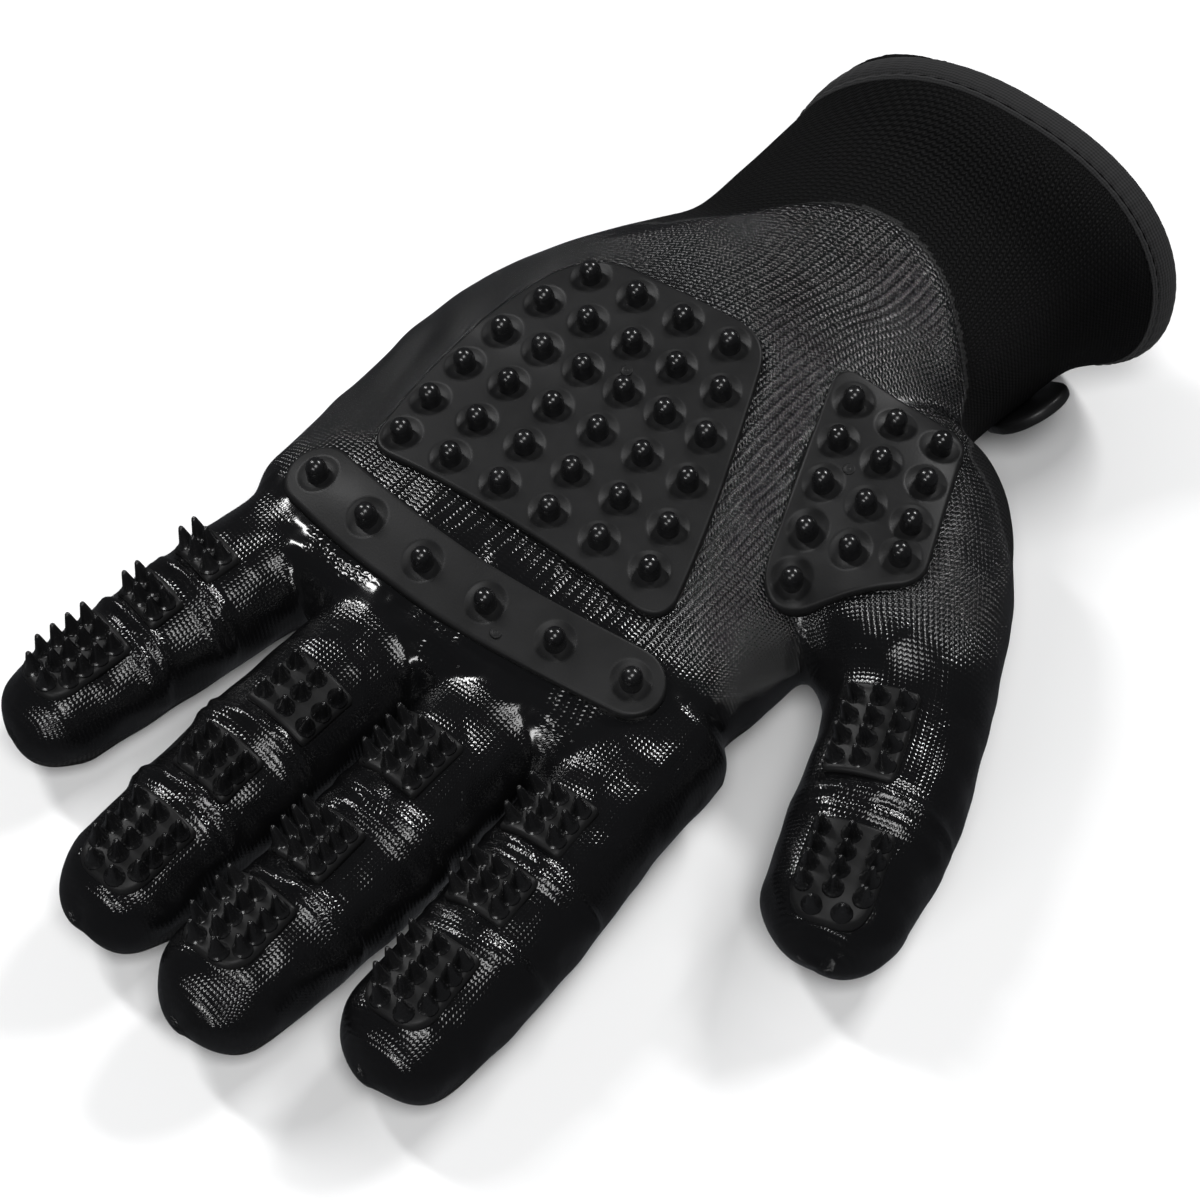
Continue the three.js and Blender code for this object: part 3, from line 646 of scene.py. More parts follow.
COATED = skin_material("coated_knit", 0.42)
BARE = skin_material("bare_knit", 0.1)
PAD_RUBBER = rubber_material("pad_rubber", 0.46, (0.0062, 0.0062, 0.0064), 0.19)
NUB_RUBBER = rubber_material("nub_rubber", 0.22, (0.0050, 0.0050, 0.0053), 0.42)

# ------------------------------ the skin

FOLD_SHARES, FOLD_HEIGHTS = (0.32, 0.68), (0.95, 0.8)
VALLEY_DEPTH, VALLEY_WIDTH = 0.45, 0.8


def tube_coordinates(tube, x, y, z):
    """Across and along the knit on a tube, in millimetres, and the angle round it from the palm side."""
    s, over, under, across, row = tube.place(x, y)
    angle = np.arctan2(across / row[..., 3], (z - row[..., 2]) / row[..., 4])
    radius = row[..., 3]
    flat = row[..., 4] / row[..., 3]
    arc = angle - 0.5 * (1 - flat) * np.sin(2 * angle) * 0.5
    spread = radius * arc * (0.5 + 0.5 * flat) * 1.08
    return spread, s + over - under, angle


def pad_gaps(finger):
    """Where the finger lies bare between its pads."""
    pads = finger["pads"]
    return [(pad[0] + pad[1] / 2, after[0] - after[1] / 2) for pad, after in zip(pads, pads[1:])]


def finger_folds(finger, order, t, face):
    """Two ridges and a valley across the finger between each two pads, and soft dents round its tip."""
    palm_side = smooth_step(1.75, 0.75, np.abs(face))
    total = np.zeros(len(t))
    for j, (low, high) in enumerate(pad_gaps(finger)):
        for share, height in zip(FOLD_SHARES, FOLD_HEIGHTS):
            middle = low + share * (high - low) + 0.9 * np.sin(2.1 * face + 3 * share + j + order)
            width = 0.17 * (high - low) + 0.25
            total += height * np.exp(-((t - middle) / width) ** 2) * palm_side
        valley = (low + high) / 2 + 0.7 * np.sin(1.7 * face + order)
        total -= VALLEY_DEPTH * np.exp(-((t - valley) / VALLEY_WIDTH) ** 2) * palm_side
    tip = finger["stations"][-1][0] + 0.45 * finger["tip"]
    return total + 0.25 * np.sin(1.9 * face + 0.5 * t + order) * smooth_step(tip - 8, tip, t)


def folds(region, points, angle, along):
    """Height of the folds in the coating and of the knit's slow waves."""
    lift = np.zeros(len(points))
    x, y, z = points.T
    for k, (name, finger) in enumerate(FINGERS.items()):
        here = region == k + 1
        t = along[here] - (DIGITS[name].knots[-1] - finger["stations"][-1][0])
        face = angle[here] + math.radians(finger["pads"][0][3])
        lift[here] = finger_folds(finger, k, t, face)
    wave = (np.sin(0.21 * x + 0.13 * y + 0.4 * z + 1.3) * np.sin(0.17 * y - 0.11 * x + 0.23 * z)
            + 0.6 * np.sin(0.43 * x - 0.31 * y + 0.2 * z + 2.0) * np.sin(0.37 * y + 0.29 * x + 0.7))
    return lift + 0.22 * wave * smooth_step(70, 30, y)


SKIN_LOW, SKIN_HIGH = np.array([-80.0, -126.0, -4.0]), np.array([96.0, 118.0, 66.0])
FLOOR_GAP = 0.15
RIM_SHORTFALL = 2.0            # the knit ends this far inside the binding


def build_skin():
    """Points and quads of the knit's wall, inside and out, open at the cuff."""
    shape = tuple(np.ceil((SKIN_HIGH - SKIN_LOW) / VOXEL).astype(int))
    distance = grid_distance(SKIN_LOW, shape)
    axes = [SKIN_LOW[k] + VOXEL * np.arange(shape[k]) for k in range(3)]
    x, y = np.meshgrid(axes[0], axes[1], indexing="ij")
    z = axes[2][None, None, :]
    across, t = wrist_place(x, y)
    past_rim = t[..., None] + RIM_SHORTFALL - rim_line(cuff_angle(across[..., None], z))
    shell = np.maximum(np.maximum(distance, -(distance + WALL)), past_rim)
    shell = np.maximum(shell, FLOOR_GAP - z)
    grid = openvdb.FloatGrid(FAR)
    grid.copyFromArray(np.clip(shell, -FAR, FAR).astype(np.float32))
    points, quads = grid.convertToQuads()
    return points.astype(float) * VOXEL + SKIN_LOW, quads


def settle(points, outer):
    """Moves the outer points onto the true form, which the grid only comes close to."""
    step = 0.05
    for _ in range(2):
        p = points[outer]
        here = skin_distance(p)
        gradient = np.stack([skin_distance(p + step * np.eye(3)[k]) - here for k in range(3)], 1) / step
        size = np.maximum((gradient ** 2).sum(1, keepdims=True), 0.2)
        move = -here[:, None] * gradient / size
        above_floor = (p[:, 2] > 0.5)[:, None]
        points[outer] = p + np.clip(move, -0.5, 0.5) * above_floor


skin_points, skin_quads = build_skin()
outer = np.abs(skin_distance(skin_points)) < 0.6 * VOXEL
settle(skin_points, outer)

# Which form each point lies on, 0 for the palm and cuff, and its place on that form's knit
x, y, z = skin_points.T
nearness = np.stack([body_distance(x, y, z)] + [boxed(tube, x, y, z) for tube in DIGITS.values()])
ranked = np.sort(nearness, axis=0)
region = np.argmin(nearness, axis=0)
relief_share = smooth_step(0.25, 2.2, ranked[1] - ranked[0])
spread, along, angle = (np.zeros(len(skin_points)) for _ in range(3))
for k, tube in enumerate([HAND, *DIGITS.values()]):
    here = region == k
    spread[here], along[here], angle[here] = tube_coordinates(tube, x[here], y[here], z[here])
normals = vertex_normals(skin_points, skin_quads)
lift = folds(region, skin_points, angle, along) * outer * smooth_step(0.5, 5, z)
skin_points = skin_points + normals * lift[:, None]
normals = vertex_normals(skin_points, skin_quads)

# Finish: the coating stops at its edge over the wrist and part of the way down the sides
x, y, z = skin_points.T
wrist_across, wrist_t = wrist_place(x, y)
edge = np.maximum(coat_edge(wrist_across, z), 1.1 * z - 50)
palm_side = smooth_step(-52, -20, y) * smooth_step(50, 36, x)
limit = 9.5 + 7.5 * palm_side - 0.8 * smooth_step(36, 52, x)
limit = limit + 1.2 * np.sin(0.31 * x + 0.23 * y) + 0.7 * np.sin(0.71 * x - 0.57 * y)
coat = smooth_step(0.8, -0.4, wrist_t - edge) * smooth_step(-1.6, 1.6, z - limit) * outer
thumb_gloss = smooth_step(38, 50, x) * smooth_step(24, 0, y)
gloss = np.clip(np.maximum(smooth_step(6, -30, y), thumb_gloss), 0.12, 1)
black = smooth_step(-20, 4, wrist_t)
bend = 0.013 * (wrist_across - 3) ** 2 * smooth_step(-90, -10, wrist_t)
along = np.where(region == 0, -wrist_t - bend, along)


def skin_piece(name, chosen, nodes, slot="coated_knit"):
    """The chosen quads of the skin as a piece of their own, coated and bare."""
    quads = skin_quads[chosen]
    used, flat_index = np.unique(quads, return_inverse=True)
    quads = flat_index.reshape(quads.shape)
    obj = quads_mesh(name, skin_points[used], quads, COATED)
    corners = used[quads]
    obj.data.materials.append(BARE)
    obj.data.polygons.foreach_set("material_index", (coat[corners].max(1) < 0.01).astype(np.int32))
    across = spread[corners]
    on_seam = across.max(1) - across.min(1) > 20
    across = np.where(on_seam[:, None], np.abs(across), across)
    store(obj, "CORNER", "knit", np.stack([across, along[corners], relief_share[corners]], -1))
    store(obj, "POINT", "rest", skin_points[used])
    store(obj, "POINT", "finish", np.stack([coat[used], gloss[used], black[used]], 1))
    obj.data.normals_split_custom_set_from_vertices(normals[used].tolist())
    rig.slot(obj, slot)
    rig.replaces(obj, *nodes)
    return obj


def on_line(base, ahead, t, height):
    """The point in metres at distance t along a line over the table."""
    return (*((base + ahead * t) * MM), height)


def bending_stretches(finger):
    """Where along the finger each joint bends: at its own window first, then between its pads."""
    return [finger["window"], *((low + 0.2, high - 0.2) for low, high in pad_gaps(finger))]


centres = skin_points[skin_quads].mean(1)
face_region = region[skin_quads[:, 0]]
taken = np.zeros(len(skin_quads), bool)
for k, (name, finger) in enumerate(FINGERS.items()):
    t = (centres[:, :2] - finger["base"]) @ finger["ahead"]
    mine = (face_region == k + 1) & (t > finger["window"][0])
    stretches = bending_stretches(finger)
    cuts = [(before[1] + after[0]) / 2 for before, after in zip(stretches, stretches[1:])]
    cuts = [finger["window"][0], *cuts, math.inf]
    bodies = ["palm"] + [f"{name}_{segment}" for segment in SEGMENTS[name]]
    for j, stretch in enumerate(stretches):
        chosen = mine & (t >= cuts[j]) & (t < cuts[j + 1])
        body = bodies[j + 1]
        start, end = (on_line(finger["base"], finger["ahead"], at, 0.015) for at in stretch)
        skin = skin_piece(f"{body}_skin", chosen, (f"{body}_shell", f"{body}_sleeve"))
        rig.blend(skin, bodies[j], body, start=start, end=end)
        taken |= chosen

WRIST_BENDS = (-8, 10)
WRIST_SKIN = (-9, 24)
cuff_t = wrist_place(centres[:, 0], centres[:, 1])[1]
wrist_faces = ~taken & (cuff_t > WRIST_SKIN[0]) & (cuff_t < WRIST_SKIN[1])
cuff_faces = ~taken & (cuff_t >= WRIST_SKIN[1])
start, end = (on_line(WRIST, -WRIST_AHEAD, at, 0.02) for at in WRIST_BENDS)
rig.blend(skin_piece("wrist_skin", wrist_faces, ("wrist_sleeve",)), "palm", "cuff", start=start, end=end)
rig.ride(skin_piece("palm_skin", ~taken & ~wrist_faces & ~cuff_faces, ("palm_shell",)), "palm")
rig.ride(skin_piece("cuff_skin", cuff_faces, ("cuff_knit",), "cuff_knit"), "cuff")

# ------------------------------ rubber pads

PALM_KIND = dict(dish=True, thickness=1.5, spacing=2.2)
FINGER_KIND = dict(dish=False, thickness=1.1, spacing=1.2)
# Turned forms as (radius, height) from the root to the top
NUB_PROFILE = ((2.35, -0.9), (2.2, -0.55), (2.1, 0.3), (2.05, 1.6), (2.0, 2.3), (1.86, 2.95),
               (1.55, 3.6), (1.1, 4.08), (0.55, 4.34), (0.0, 4.42))
CONE_PROFILE = ((2.15, -0.35), (1.95, -0.02), (1.72, 0.16), (1.5, 0.55), (1.28, 1.2), (1.05, 2.05),
                (0.82, 2.95), (0.62, 3.7), (0.48, 4.15), (0.3, 4.4), (0.0, 4.5))
GATE_PROFILE = ((1.25, -0.5), (1.2, 0.04), (1.0, 0.16), (0.75, 0.05), (0.45, -0.02), (0.2, 0.1), (0.0, 0.12))
PIP_PROFILE = ((0.62, -0.3), (0.6, 0.35), (0.42, 0.5), (0.0, 0.54))
DISH_RADIUS, DISH_DEPTH = 3.8, 0.75
DISH_RINGS = (1.2, 2.2, 2.8, 3.3, 3.7, 3.95, 4.3)
EDGE_INSETS = (0.18, 0.42, 0.75)
PLATE_CORNER = 0.5
PLATE_ROOT = 0.3               # how far a plate reaches into the skin
RAY_START, RAY_REACH = 30, 44.0


def bezier(points, start, control, end, steps=10):
    part = np.linspace(0, 1, steps + 1)[1:, None]
    start, control, end = map(np.array, (start, control, end))
    points.extend(((1 - part) ** 2 * start + 2 * part * (1 - part) * control + part ** 2 * end).tolist())


def path(start, *legs):
    """Outline from straight legs (x, y) and curved legs (control x, y, end x, y)."""
    points = [list(start)]
    for leg in legs:
        if len(leg) == 2:
            points.append(list(leg))
        else:
            bezier(points, points[-1], leg[:2], leg[2:])
    return np.array(points)


def lengths(points):
    """Distance along a run of points to each of them."""
    return np.concatenate([[0], np.cumsum(np.linalg.norm(np.diff(points, axis=0), axis=1))])


def even(outline, step):
    """The closed outline at even steps, counter-clockwise."""
    closed = np.vstack([outline, outline[:1]])
    length = lengths(closed)
    count = int(length[-1] / step)
    at = np.linspace(0, length[-1], count, endpoint=False)
    out = np.stack([np.interp(at, length, closed[:, k]) for k in range(2)], 1)
    x, y = out.T
    area = np.sum(x * np.roll(y, -1) - np.roll(x, -1) * y)
    return out if area > 0 else out[::-1]


def inward(outline):
    ahead = np.roll(outline, -1, axis=0) - np.roll(outline, 1, axis=0)
    normal = np.stack([-ahead[:, 1], ahead[:, 0]], 1)
    return normal / np.linalg.norm(normal, axis=1, keepdims=True)


def edge_distance(points, outline):
    a, b = outline, np.roll(outline, -1, axis=0)
    ab = b - a
    best = np.full(len(points), 1e9)
    for start in range(0, len(points), 4000):
        p = points[start:start + 4000, None] - a[None]
        part = np.clip((p * ab).sum(-1) / (ab ** 2).sum(-1), 0, 1)
        best[start:start + 4000] = np.linalg.norm(p - part[..., None] * ab, axis=-1).min(1)
    return best


def inside_of(points, outline):
    x, y = points.T
    crossings = np.zeros(len(points), bool)
    for (x0, y0), (x1, y1) in zip(outline, np.roll(outline, -1, axis=0)):
        if y0 == y1:
            continue
        crossings ^= ((y0 > y) != (y1 > y)) & (x < (x1 - x0) * (y - y0) / (y1 - y0) + x0)
    return crossings


def plate_layout(outline, spots, dish, spacing):
    """Points and triangles of a plate's plan: its edge, rings round each dish, and a grid between."""
    normal = inward(outline)
    loops = [outline] + [outline + normal * inset for inset in EDGE_INSETS]
    points = np.vstack(loops)
    if dish:
        turn = np.linspace(0, TURN, 28, endpoint=False)
        circle = np.stack([np.cos(turn), np.sin(turn)], 1)
        rings = [spot + circle * r for spot in spots for r in DISH_RINGS]
        rings = np.vstack(rings)
        rings = rings[(edge_distance(rings, outline) > 0.95) & inside_of(rings, outline)]
        points = np.vstack([points, rings])
    low, high = outline.min(0), outline.max(0)
    gx, gy = np.meshgrid(np.arange(low[0], high[0], spacing), np.arange(low[1], high[1], spacing * 0.87))
    gx[1::2] += spacing / 2
    grid = np.stack([gx.ravel(), gy.ravel()], 1)
    grid = grid[inside_of(grid, outline)]
    grid = grid[edge_distance(grid, outline) > 1.2]
    if dish:
        grid = grid[np.linalg.norm(grid[:, None] - spots[None], axis=-1).min(1) > 4.7]
    points = np.vstack([points, grid])
    count = len(outline)
    edges = [(k, (k + 1) % count) for k in range(count)]
    places = [Vector(p) for p in points.tolist()]
    corners, _, faces, origins, _, _ = delaunay_2d_cdt(places, edges, [], 1, 1e-4)
    flat = np.array([v[:] for v in corners])
    border = {}
    for new, old in enumerate(origins):
        for k in old:
            if k < count:
                border[k] = new
    return flat, [tuple(f) for f in faces], [border[k] for k in range(count)]


def land(origin, direction, level):
    """Where lines from origin along -direction meet the level above the skin."""
    high = np.zeros(len(origin))
    low = np.full(len(origin), RAY_REACH)
    for _ in range(16):
        middle = (low + high) / 2
        outside = skin_distance(origin - direction * middle[:, None]) > level
        high = np.where(outside, middle, high)
        low = np.where(outside, low, middle)
    return origin - direction * low[:, None]


def lathe(profile, sides, base, axis):
    """Closed turned form standing on base along axis."""
    axis = np.array(axis, float) / np.linalg.norm(axis)
    side = np.cross(axis, (0.31, 0.95, 0.05))
    side /= np.linalg.norm(side)
    other = np.cross(axis, side)
    turn = np.linspace(0, TURN, sides, endpoint=False)
    circle = np.cos(turn)[:, None] * side + np.sin(turn)[:, None] * other
    points = [base + axis * profile[0][1]]
    for radius, height in profile[:-1]:
        points.extend(base + axis * height + circle * radius)
    points.append(base + axis * profile[-1][1])
    faces = []
    for k in range(sides):
        n = (k + 1) % sides
        faces.append((0, 1 + n, 1 + k))
        for r in range(len(profile) - 2):
            a, b = 1 + r * sides, 1 + (r + 1) * sides
            faces.append((a + k, a + n, b + n, b + k))
        top = 1 + (len(profile) - 2) * sides
        faces.append((top + k, top + n, len(points) - 1))
    return np.array(points), faces


def plate(name, outline, spots, origin, axes, body, node, gate, dish, thickness, spacing):
    """A rubber plate moulded to the skin, with a nub or cone standing at each spot."""
    across, up, out = axes
    outline = even(outline, 0.8)
    spots = np.array(spots, float)
    flat, faces, border = plate_layout(outline, spots, dish, spacing)
    edge = edge_distance(flat, outline)
    inset = np.clip(edge, 0, PLATE_CORNER)
    fall = np.sqrt(np.maximum(PLATE_CORNER ** 2 - (PLATE_CORNER - inset) ** 2, 0))
    top = thickness - PLATE_CORNER + fall
    if dish:
        apart = np.linalg.norm(flat[:, None] - spots[None], axis=-1).min(1)
        hollow = np.clip(1 - (apart / DISH_RADIUS) ** 2, 0, 1)
        top = top - DISH_DEPTH * np.sqrt(hollow) * hollow ** 0.25
    else:
        top = top + 0.16 * np.exp(-((edge - 0.75) / 0.35) ** 2)

    def over_skin(plan, level):
        start = origin + plan[:, :1] * across + plan[:, 1:] * up + out * RAY_START
        return land(start, np.broadcast_to(out, start.shape), level)

    ground = over_skin(flat, 0.0)
    step = 0.3
    slope = (over_skin(flat, step) - ground) / step
    points = [*(ground + slope * top[:, None]), *(ground - slope * PLATE_ROOT)]
    count = len(flat)
    mesh_faces = faces + [tuple(count + k for k in reversed(f)) for f in faces]
    for a, b in zip(border, border[1:] + border[:1]):
        mesh_faces.append((a, count + a, count + b, b))
    materials = [0] * len(mesh_faces)

    def stand(form, material):
        form_points, form_faces = form
        offset = len(points)
        points.extend(form_points)
        mesh_faces.extend(tuple(offset + k for k in f) for f in form_faces)
        materials.extend([material] * len(form_faces))

    floor = thickness - (DISH_DEPTH if dish else 0)
    at, beside, ahead = (over_skin(spots + move, floor) for move in ((0, 0), (0.5, 0), (0, 0.5)))
    lean = np.cross(beside - at, ahead - at)
    lean /= np.linalg.norm(lean, axis=1, keepdims=True)
    profile, sides = (NUB_PROFILE, 28) if dish else (CONE_PROFILE, 18)
    for base, normal in zip(at, lean):
        stand(lathe(profile, sides, base, normal * 0.45 + out * 0.55), 1)
    gate_at = over_skin(np.array([gate]), thickness)[0]
    stand(lathe(GATE_PROFILE if dish else PIP_PROFILE, 16, gate_at, out), 0)
    obj = new_object(name, points, mesh_faces, PAD_RUBBER)
    obj.data.materials.append(NUB_RUBBER)
    obj.data.polygons.foreach_set("material_index", materials)
    place_piece(obj, (node,), "pad_rubber", body)


def spread_row(y, low, high, count):
    return [(low + (high - low) * k / (count - 1), y) for k in range(count)]


ABOVE_PALM = np.array([0.0, 0.0, 20.0])
UPRIGHT = np.eye(3)
PALM_OUTLINE = path((-37, -13.6), (-10, -13.2, 17.4, -16), (23.8, -16.4, 23.6, -10.6),
                    (20, 8, 10.8, 36), (8.6, 42.4, 2.2, 42.6), (-23, 42.4), (-30, 42, -34.4, 35),
                    (-43, 17, -42, -8.4), (-41.6, -13.4, -37, -13.6))[:-1]
# Rows of nubs: y, first x, last x, count
PALM_ROWS = ((-8.6, -37.4, 16.4, 6), (0.4, -37.4, 14.4, 6), (10, -36.4, 12.2, 6), (19.2, -34.4, 10, 6),
             (28.4, -31.4, 7.2, 5), (37.4, -27.2, 3.2, 4))
PALM_SPOTS = [spot for row in PALM_ROWS for spot in spread_row(*row)]
BALL_OUTLINE = path((25.5, 45.4), (45.5, 46.4), (49.4, 46, 50.2, 42), (57.6, 18.4),
                    (58.2, 15.4, 55.6, 13), (40.6, 1.4), (36.4, -1.6, 33.4, 2.8), (32.2, 5, 31.4, 8),
                    (22.8, 41), (22.4, 45, 25.5, 45.4))[:-1]
BALL_SPOTS = [(x + 2.3 * k, y - 8.6 * k) for x, y, count in ((28.2, 40, 5), (37.2, 40, 4), (46, 41, 3))
              for k in range(count)] + [(52.4, 17.4)]
STRIP_LINE = (np.array([-46, -22.8]), np.array([-12.8, -33.4]), np.array([25.4, -27.8]))
STRIP_HALF_WIDTH, STRIP_STEPS, STRIP_END_STEPS = 6.3, 24, 12


def strip_at(part):
    """The point at a part of the strip's length, and the direction there."""
    a, b, c = STRIP_LINE
    at = (1 - part) ** 2 * a + 2 * part * (1 - part) * b + part ** 2 * c
    ahead = (1 - part) * (b - a) + part * (c - b)
    return at, ahead / np.linalg.norm(ahead)


def strip_outline():
    """Down one side of the strip, round its end, and back."""
    points = []
    for side in (-1, 1):
        for k in range(STRIP_STEPS + 1)[::-side]:
            at, ahead = strip_at(k / STRIP_STEPS)
            points.append(at + side * STRIP_HALF_WIDTH * np.array([-ahead[1], ahead[0]]))
        at, ahead = strip_at(1.0 if side < 0 else 0.0)
        ahead = -side * ahead
        left = np.array([-ahead[1], ahead[0]])
        for k in range(1, STRIP_END_STEPS):
            turn = -math.pi / 2 + math.pi * k / STRIP_END_STEPS
            points.append(at + STRIP_HALF_WIDTH * (math.cos(turn) * ahead + math.sin(turn) * left))
    return np.array(points)


PALM_PLATES = (
    ("palm_plate", PALM_OUTLINE, PALM_SPOTS, "palm_pad", (-9.7, 23.0)),
    ("thumb_ball_plate", BALL_OUTLINE, BALL_SPOTS, "thenar_pad", (35.4, 27.2)),
    ("knuckle_plate", strip_outline(), [strip_at(k / 5)[0] for k in range(6)], "knuckle_strip",
     strip_at(0.66)[0] + (0.4, -3.6)),
)
for name, outline, spots, node, gate in PALM_PLATES:
    plate(name, outline, spots, ABOVE_PALM, UPRIGHT, "palm", node, gate, **PALM_KIND)


def finger_outline(width, length, rounded):
    """A pad's outline, square at the root and rounded at the tip on the last pad of a finger."""
    r = 0.8
    x, y = width / 2, length / 2
    e = width * 0.42 if rounded else r
    return path((-x + r, y), (-x, y, -x, y - r), (-x, -y + e), (-x, -y, -x + e, -y), (x - e, -y),
                (x, -y, x, -y + e), (x, y - r), (x, y, x - r, y))[:-1]


def cone_height(rows, length, row):
    """How far up its pad a row of cones stands. Half a row lies between two."""
    return length / 2 - 2.4 - row * ((length - 3.4) / (len(rows) - 0.6))


def cone_spots(rows, width, length):
    column_step = (width - 4.4) / 2
    return [((column - (count - 1) / 2) * column_step, cone_height(rows, length, row))
            for row, count in enumerate(rows) for column in range(count)]


for name, finger in FINGERS.items():
    stations = np.array(finger["stations"])
    for segment, (t, length, width, roll, rows) in zip(SEGMENTS[name], finger["pads"]):
        x, z = (np.interp(t, stations[:, 0], stations[:, k]) for k in (1, 2))
        xy = finger["base"] + finger["across"] * x + finger["ahead"] * t
        a = math.radians(roll)
        side = np.array([*(finger["across"] * math.cos(a)), -math.sin(a)])
        out = np.array([*(finger["across"] * math.sin(a)), math.cos(a)])
        up = np.array([*(-finger["ahead"]), 0.0])
        body = f"{name}_{segment}"
        gate = (0.0, cone_height(rows, length, len(rows) // 2 - 0.5))
        plate(f"{body}_plate", finger_outline(width, length, len(rows) > 4), cone_spots(rows, width, length),
              np.array([*xy, z]), (side, up, out), body, f"{body}_pad", gate, **FINGER_KIND)

# ------------------------------ cuff trim

CUFF_T = np.array([row[0] for row in CUFF])[::-1]
CUFF_KNOTS = HAND.knots[:len(CUFF)][::-1]


def power(value, exponent):
    """Power that keeps the value's sign."""
    return np.sign(value) * np.abs(value) ** exponent


def on_cuff(t, angle, out):
    """Points on the cuff at distances t over the wrist, angles round it, and heights off the knit."""
    t, angle, out = np.broadcast_arrays(*(np.asarray(v, float) for v in (t, angle, out)))
    row = HAND.at(np.interp(t, CUFF_T, CUFF_KNOTS))
    across = (row[..., 3] + out) * power(np.cos(angle), 2 / FINGER_ROUNDNESS)
    height = row[..., 2] + (row[..., 4] + out) * power(np.sin(angle), 2 / FINGER_ROUNDNESS)
    at_x = row[..., 0] + across * WRIST_ACROSS[0]
    at_y = row[..., 1] + across * WRIST_ACROSS[1]
    return np.stack([at_x, at_y, height], -1)


def swept(name, rings, material, closed_run):
    """A skin over rings of points (run, section, 3), closed into a hoop or with an end face at each end."""
    runs, count = rings.shape[:2]
    faces = []
    for i in range(runs if closed_run else runs - 1):
        j = (i + 1) % runs
        for k in range(count):
            n = (k + 1) % count
            faces.append((i * count + k, i * count + n, j * count + n, j * count + k))
    points = rings.reshape(-1, 3)
    if not closed_run:
        faces.append(tuple(range(count))[::-1])
        faces.append(tuple((runs - 1) * count + k for k in range(count)))
    obj = new_object(name, points, faces, material)
    loop_verts = np.zeros(len(obj.data.loops), int)
    obj.data.loops.foreach_get("vertex_index", loop_verts)
    u = np.repeat(lengths(rings.mean(1)), count)[loop_verts]
    v = np.tile(lengths(rings[0]), runs)[loop_verts]
    store(obj, "CORNER", "knit", np.stack([u, v, np.ones_like(u)], 1))
    store(obj, "POINT", "rest", points)
    return obj


BINDING_WIDTH, TAPE = 6.5, 1.25


def build_binding():
    """Tape folded over the rim, from its outer edge round to its inner one."""
    turn = np.linspace(0, TURN, 320, endpoint=False)
    outer = TAPE + 0.2
    inner = -WALL - TAPE - 0.1
    stitched = ((0, 0), (0.1, 0.55), (-0.3, 0.9), (-0.8, 0.97), (-1.2, 0.5), (-1.6, 1))
    profile = [(BINDING_WIDTH + more, outer * share) for more, share in stitched]
    profile += [(3.6, outer + 0.12), (2.4, outer + 0.12)]
    middle = (outer + inner) / 2
    half = (outer - inner) / 2
    for k in range(9):
        a = math.pi / 2 - math.pi * k / 8
        profile.append((half * 0.75 * (1 - math.cos(a)), middle + half * math.sin(a)))
    profile += [(3.6, inner), (BINDING_WIDTH, inner), (BINDING_WIDTH, -WALL)]
    rings = np.zeros((len(turn), len(profile), 3))
    for k, (inward_by, out) in enumerate(profile):
        pucker = 0.1 * np.sin(turn * 74) * (1 if out > 0 and inward_by > 3.5 else 0.3)
        rings[:, k] = on_cuff(rim_line(turn) - inward_by, turn, out + pucker)
    obj = swept("binding_tape", rings, BINDING, True)
    place_piece(obj, ("cuff_binding",), "binding", "cuff")


def band(name, start, end, low, high, half_width, material, node, slot, body):
    """A flat band round the cuff, from side `start` to side `end` and between two heights off the knit."""
    turn = np.linspace(start * SIDE, end * SIDE, 60)
    c = min(0.35, (high - low) / 2)
    side = [(half_width, low + c), (half_width, high - c), (half_width - c, high)]
    section = [*side, (0, high + 0.05), *((-off, out) for off, out in side[::-1]),
               (-half_width + c, low), (half_width - c, low)]
    rings = np.stack([on_cuff(STRAP_T + off, turn, out) for off, out in section], 1)
    obj = swept(name, rings[::-1], material, False)
    place_piece(obj, (node,), slot, body)


SIDE = TURN / 28        # the strap's ends are counted in sides of the cuff's ring
STRAP_T, STRAP_WIDTH, STRAP_LIFT, STRAP_THICK = 15.9, 15.6, 2.4, 1.4
STRAP_END = 25
TAB_LENGTH, TAB_DROOP, SEAM = 14, -14, 1.1
# Height over the tab's underside, and how far its outline is drawn in there
TAB_LEVELS = ((0.0, 3.0), (0.0, 0.7), (0.2, 0.2), (0.65, 0.0), (1.5, 0.0), (1.95, 0.2), (2.2, 0.7),
              (2.05, 1.4), (2.0, 3.0))


def build_tab():
    """The strap's round rubber end, hanging on from the webbing."""
    end = STRAP_END * SIDE
    near, far = (on_cuff(STRAP_T + side * STRAP_WIDTH, end, STRAP_LIFT) for side in (-0.5, 0.5))
    before = on_cuff(STRAP_T + 0.5 * STRAP_WIDTH, end - 0.05, STRAP_LIFT)
    start = (near + far) / 2
    along = (far - near) / np.linalg.norm(far - near)
    ahead = far - before
    ahead -= along * (ahead @ along)
    ahead /= np.linalg.norm(ahead)
    a = math.radians(TAB_DROOP)
    ahead = ahead * math.cos(a) + np.cross(along, ahead) * math.sin(a)
    out = np.cross(along, ahead)
    r = STRAP_WIDTH / 2
    arc = np.linspace(0, math.pi, 33)
    shoulder = TAB_LENGTH - r
    halfway = (SEAM + shoulder) / 2
    outline = np.array([(-r, SEAM), (-r / 2, SEAM), (r / 2, SEAM), (r, SEAM), (r, halfway),
                        *((r * math.cos(b), shoulder + r * math.sin(b)) for b in arc), (-r, halfway)])
    centre = outline.mean(0)
    rings = []
    for height, inset in TAB_LEVELS:
        flat = centre + (outline - centre) * (1 - inset / r)
        rings.append(start + flat[:, :1] * along + flat[:, 1:] * ahead + out * height)
    obj = swept("tab", np.array(rings)[::-1], TAB_RUBBER, False)
    place_piece(obj, ("strap_tab",), "tab_rubber", "strap")


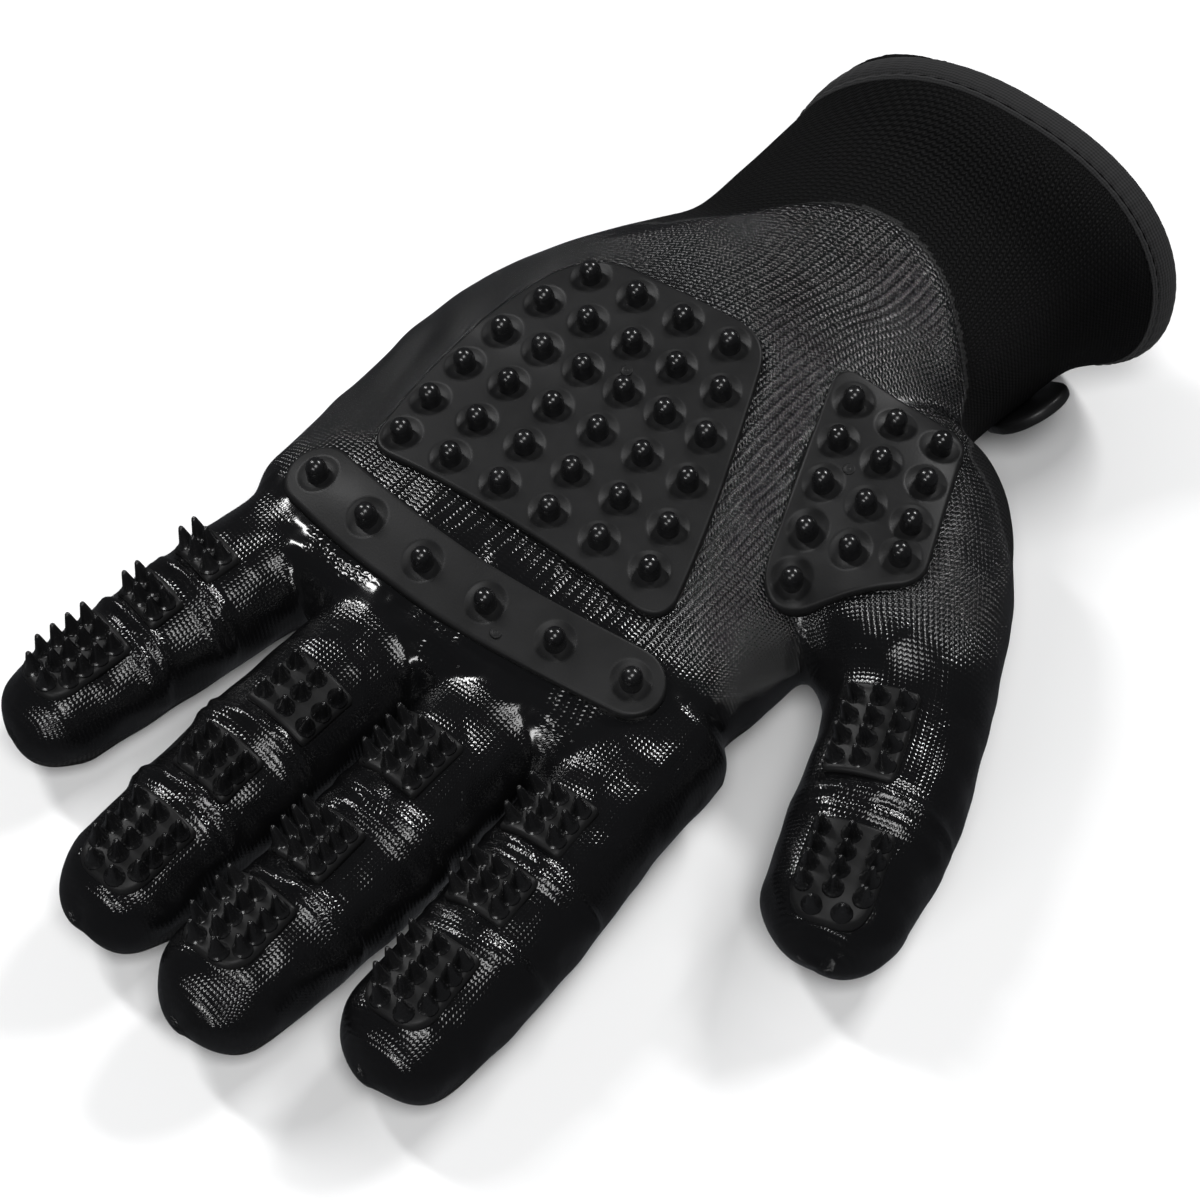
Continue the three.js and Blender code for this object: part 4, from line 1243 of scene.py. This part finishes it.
BINDING = cloth_material("binding", (0.017, 0.017, 0.0175), 0.000015, 0.6, 0.6, 0.02)
WEBBING = cloth_material("strap_webbing", (0.009, 0.009, 0.0095), 0.00016, 1.1, 1.3, 0.01)
LOOPS = cloth_material("loop_tape", (0.010, 0.010, 0.0105), 0.0003, 0.9, 0.8, 0.05)
HOOKS = cloth_material("hook_tape", (0.008, 0.008, 0.0085), 0.0003, 0.7, 0.7, 0.0)
TAB_RUBBER = rubber_material("tab_rubber", 0.36, (0.008, 0.008, 0.0083), 0.3)
build_binding()
STRAP_TOP = STRAP_LIFT + STRAP_THICK
band("strap_band", 18, STRAP_END, STRAP_LIFT, STRAP_TOP, STRAP_WIDTH / 2, WEBBING,
     "wrist_strap", "strap_webbing", "strap")
band("strap_fixed_end", 15, 17.9, 0.3, STRAP_TOP, STRAP_WIDTH / 2, WEBBING,
     "strap_anchor", "strap_webbing", "cuff")
band("loop_band", 22, 24, 0.2, 1.2, 7.3, LOOPS, "loop_patch", "loop_tape", "cuff")
band("hook_band", 22, 24, 1.5, 2.3, 7.0, HOOKS, "hook_patch", "hook_tape", "strap")
build_tab()

# ------------------------------ stage

scene = bpy.context.scene
scene.view_settings.view_transform = "Standard"
FLOOR_HALF = 6000
FLOOR_WHITE = (0.86, 0.86, 0.86, 1)
SKY, SKY_STRENGTH = (0.9, 0.93, 1.0, 1), 0.07
LIGHT_AIM = Vector((0.0, 0.0, 0.02))

# The floor isn't mirrored in the glove, as the photo's white ground isn't
corners = [(x * FLOOR_HALF, y * FLOOR_HALF, 0) for x, y in ((-1, -1), (1, -1), (1, 1), (-1, 1))]
floor_material = Nodes("floor").done(Base_Color=FLOOR_WHITE, Roughness=0.9)
floor = new_object("floor", corners, [(0, 1, 2, 3)], floor_material)
floor.visible_glossy = False
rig.stage(floor)

world = bpy.data.worlds.new("studio")
scene.world = world
world.use_nodes = True
background = world.node_tree.nodes["Background"]
background.inputs["Color"].default_value = SKY
background.inputs["Strength"].default_value = SKY_STRENGTH


def soft_light(name, at, size, watts):
    light = bpy.data.lights.new(name, "AREA")
    light.shape = "RECTANGLE"
    light.size, light.size_y = size
    light.energy = watts
    obj = bpy.data.objects.new(name, light)
    obj.location = at
    obj.rotation_euler = (Vector(at) - LIGHT_AIM).to_track_quat("Z", "Y").to_euler()
    scene.collection.objects.link(obj)


soft_light("rear_left", (-1.0, 0.12, 0.95), (0.14, 0.55), 10)
soft_light("rear_right", (0.20, 0.98, 1.0), (0.45, 0.14), 11)
soft_light("overhead", (0.45, -0.5, 1.35), (0.6, 0.6), 12)
soft_light("front", (0.05, -1.2, 0.6), (0.6, 0.12), 5)

# Camera: direction, distance and lens of the reference view
AZIMUTH, ELEVATION = math.radians(34), math.radians(57)
DISTANCE = 0.9
camera = bpy.data.cameras.new("camera")
camera.lens, camera.sensor_width = 145.8, 36
camera.clip_start, camera.clip_end = 0.05, 20
camera_object = bpy.data.objects.new("camera", camera)
back = Vector((math.sin(AZIMUTH) * math.cos(ELEVATION), -math.cos(AZIMUTH) * math.cos(ELEVATION),
               math.sin(ELEVATION)))
camera_object.location = back * DISTANCE
camera_object.rotation_euler = back.to_track_quat("Z", "Y").to_euler()
scene.collection.objects.link(camera_object)
scene.camera = camera_object

with open("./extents.json", "w") as out:
    json.dump({"cad": cad_box, "visual": [list(corner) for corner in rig.bounds()]}, out)
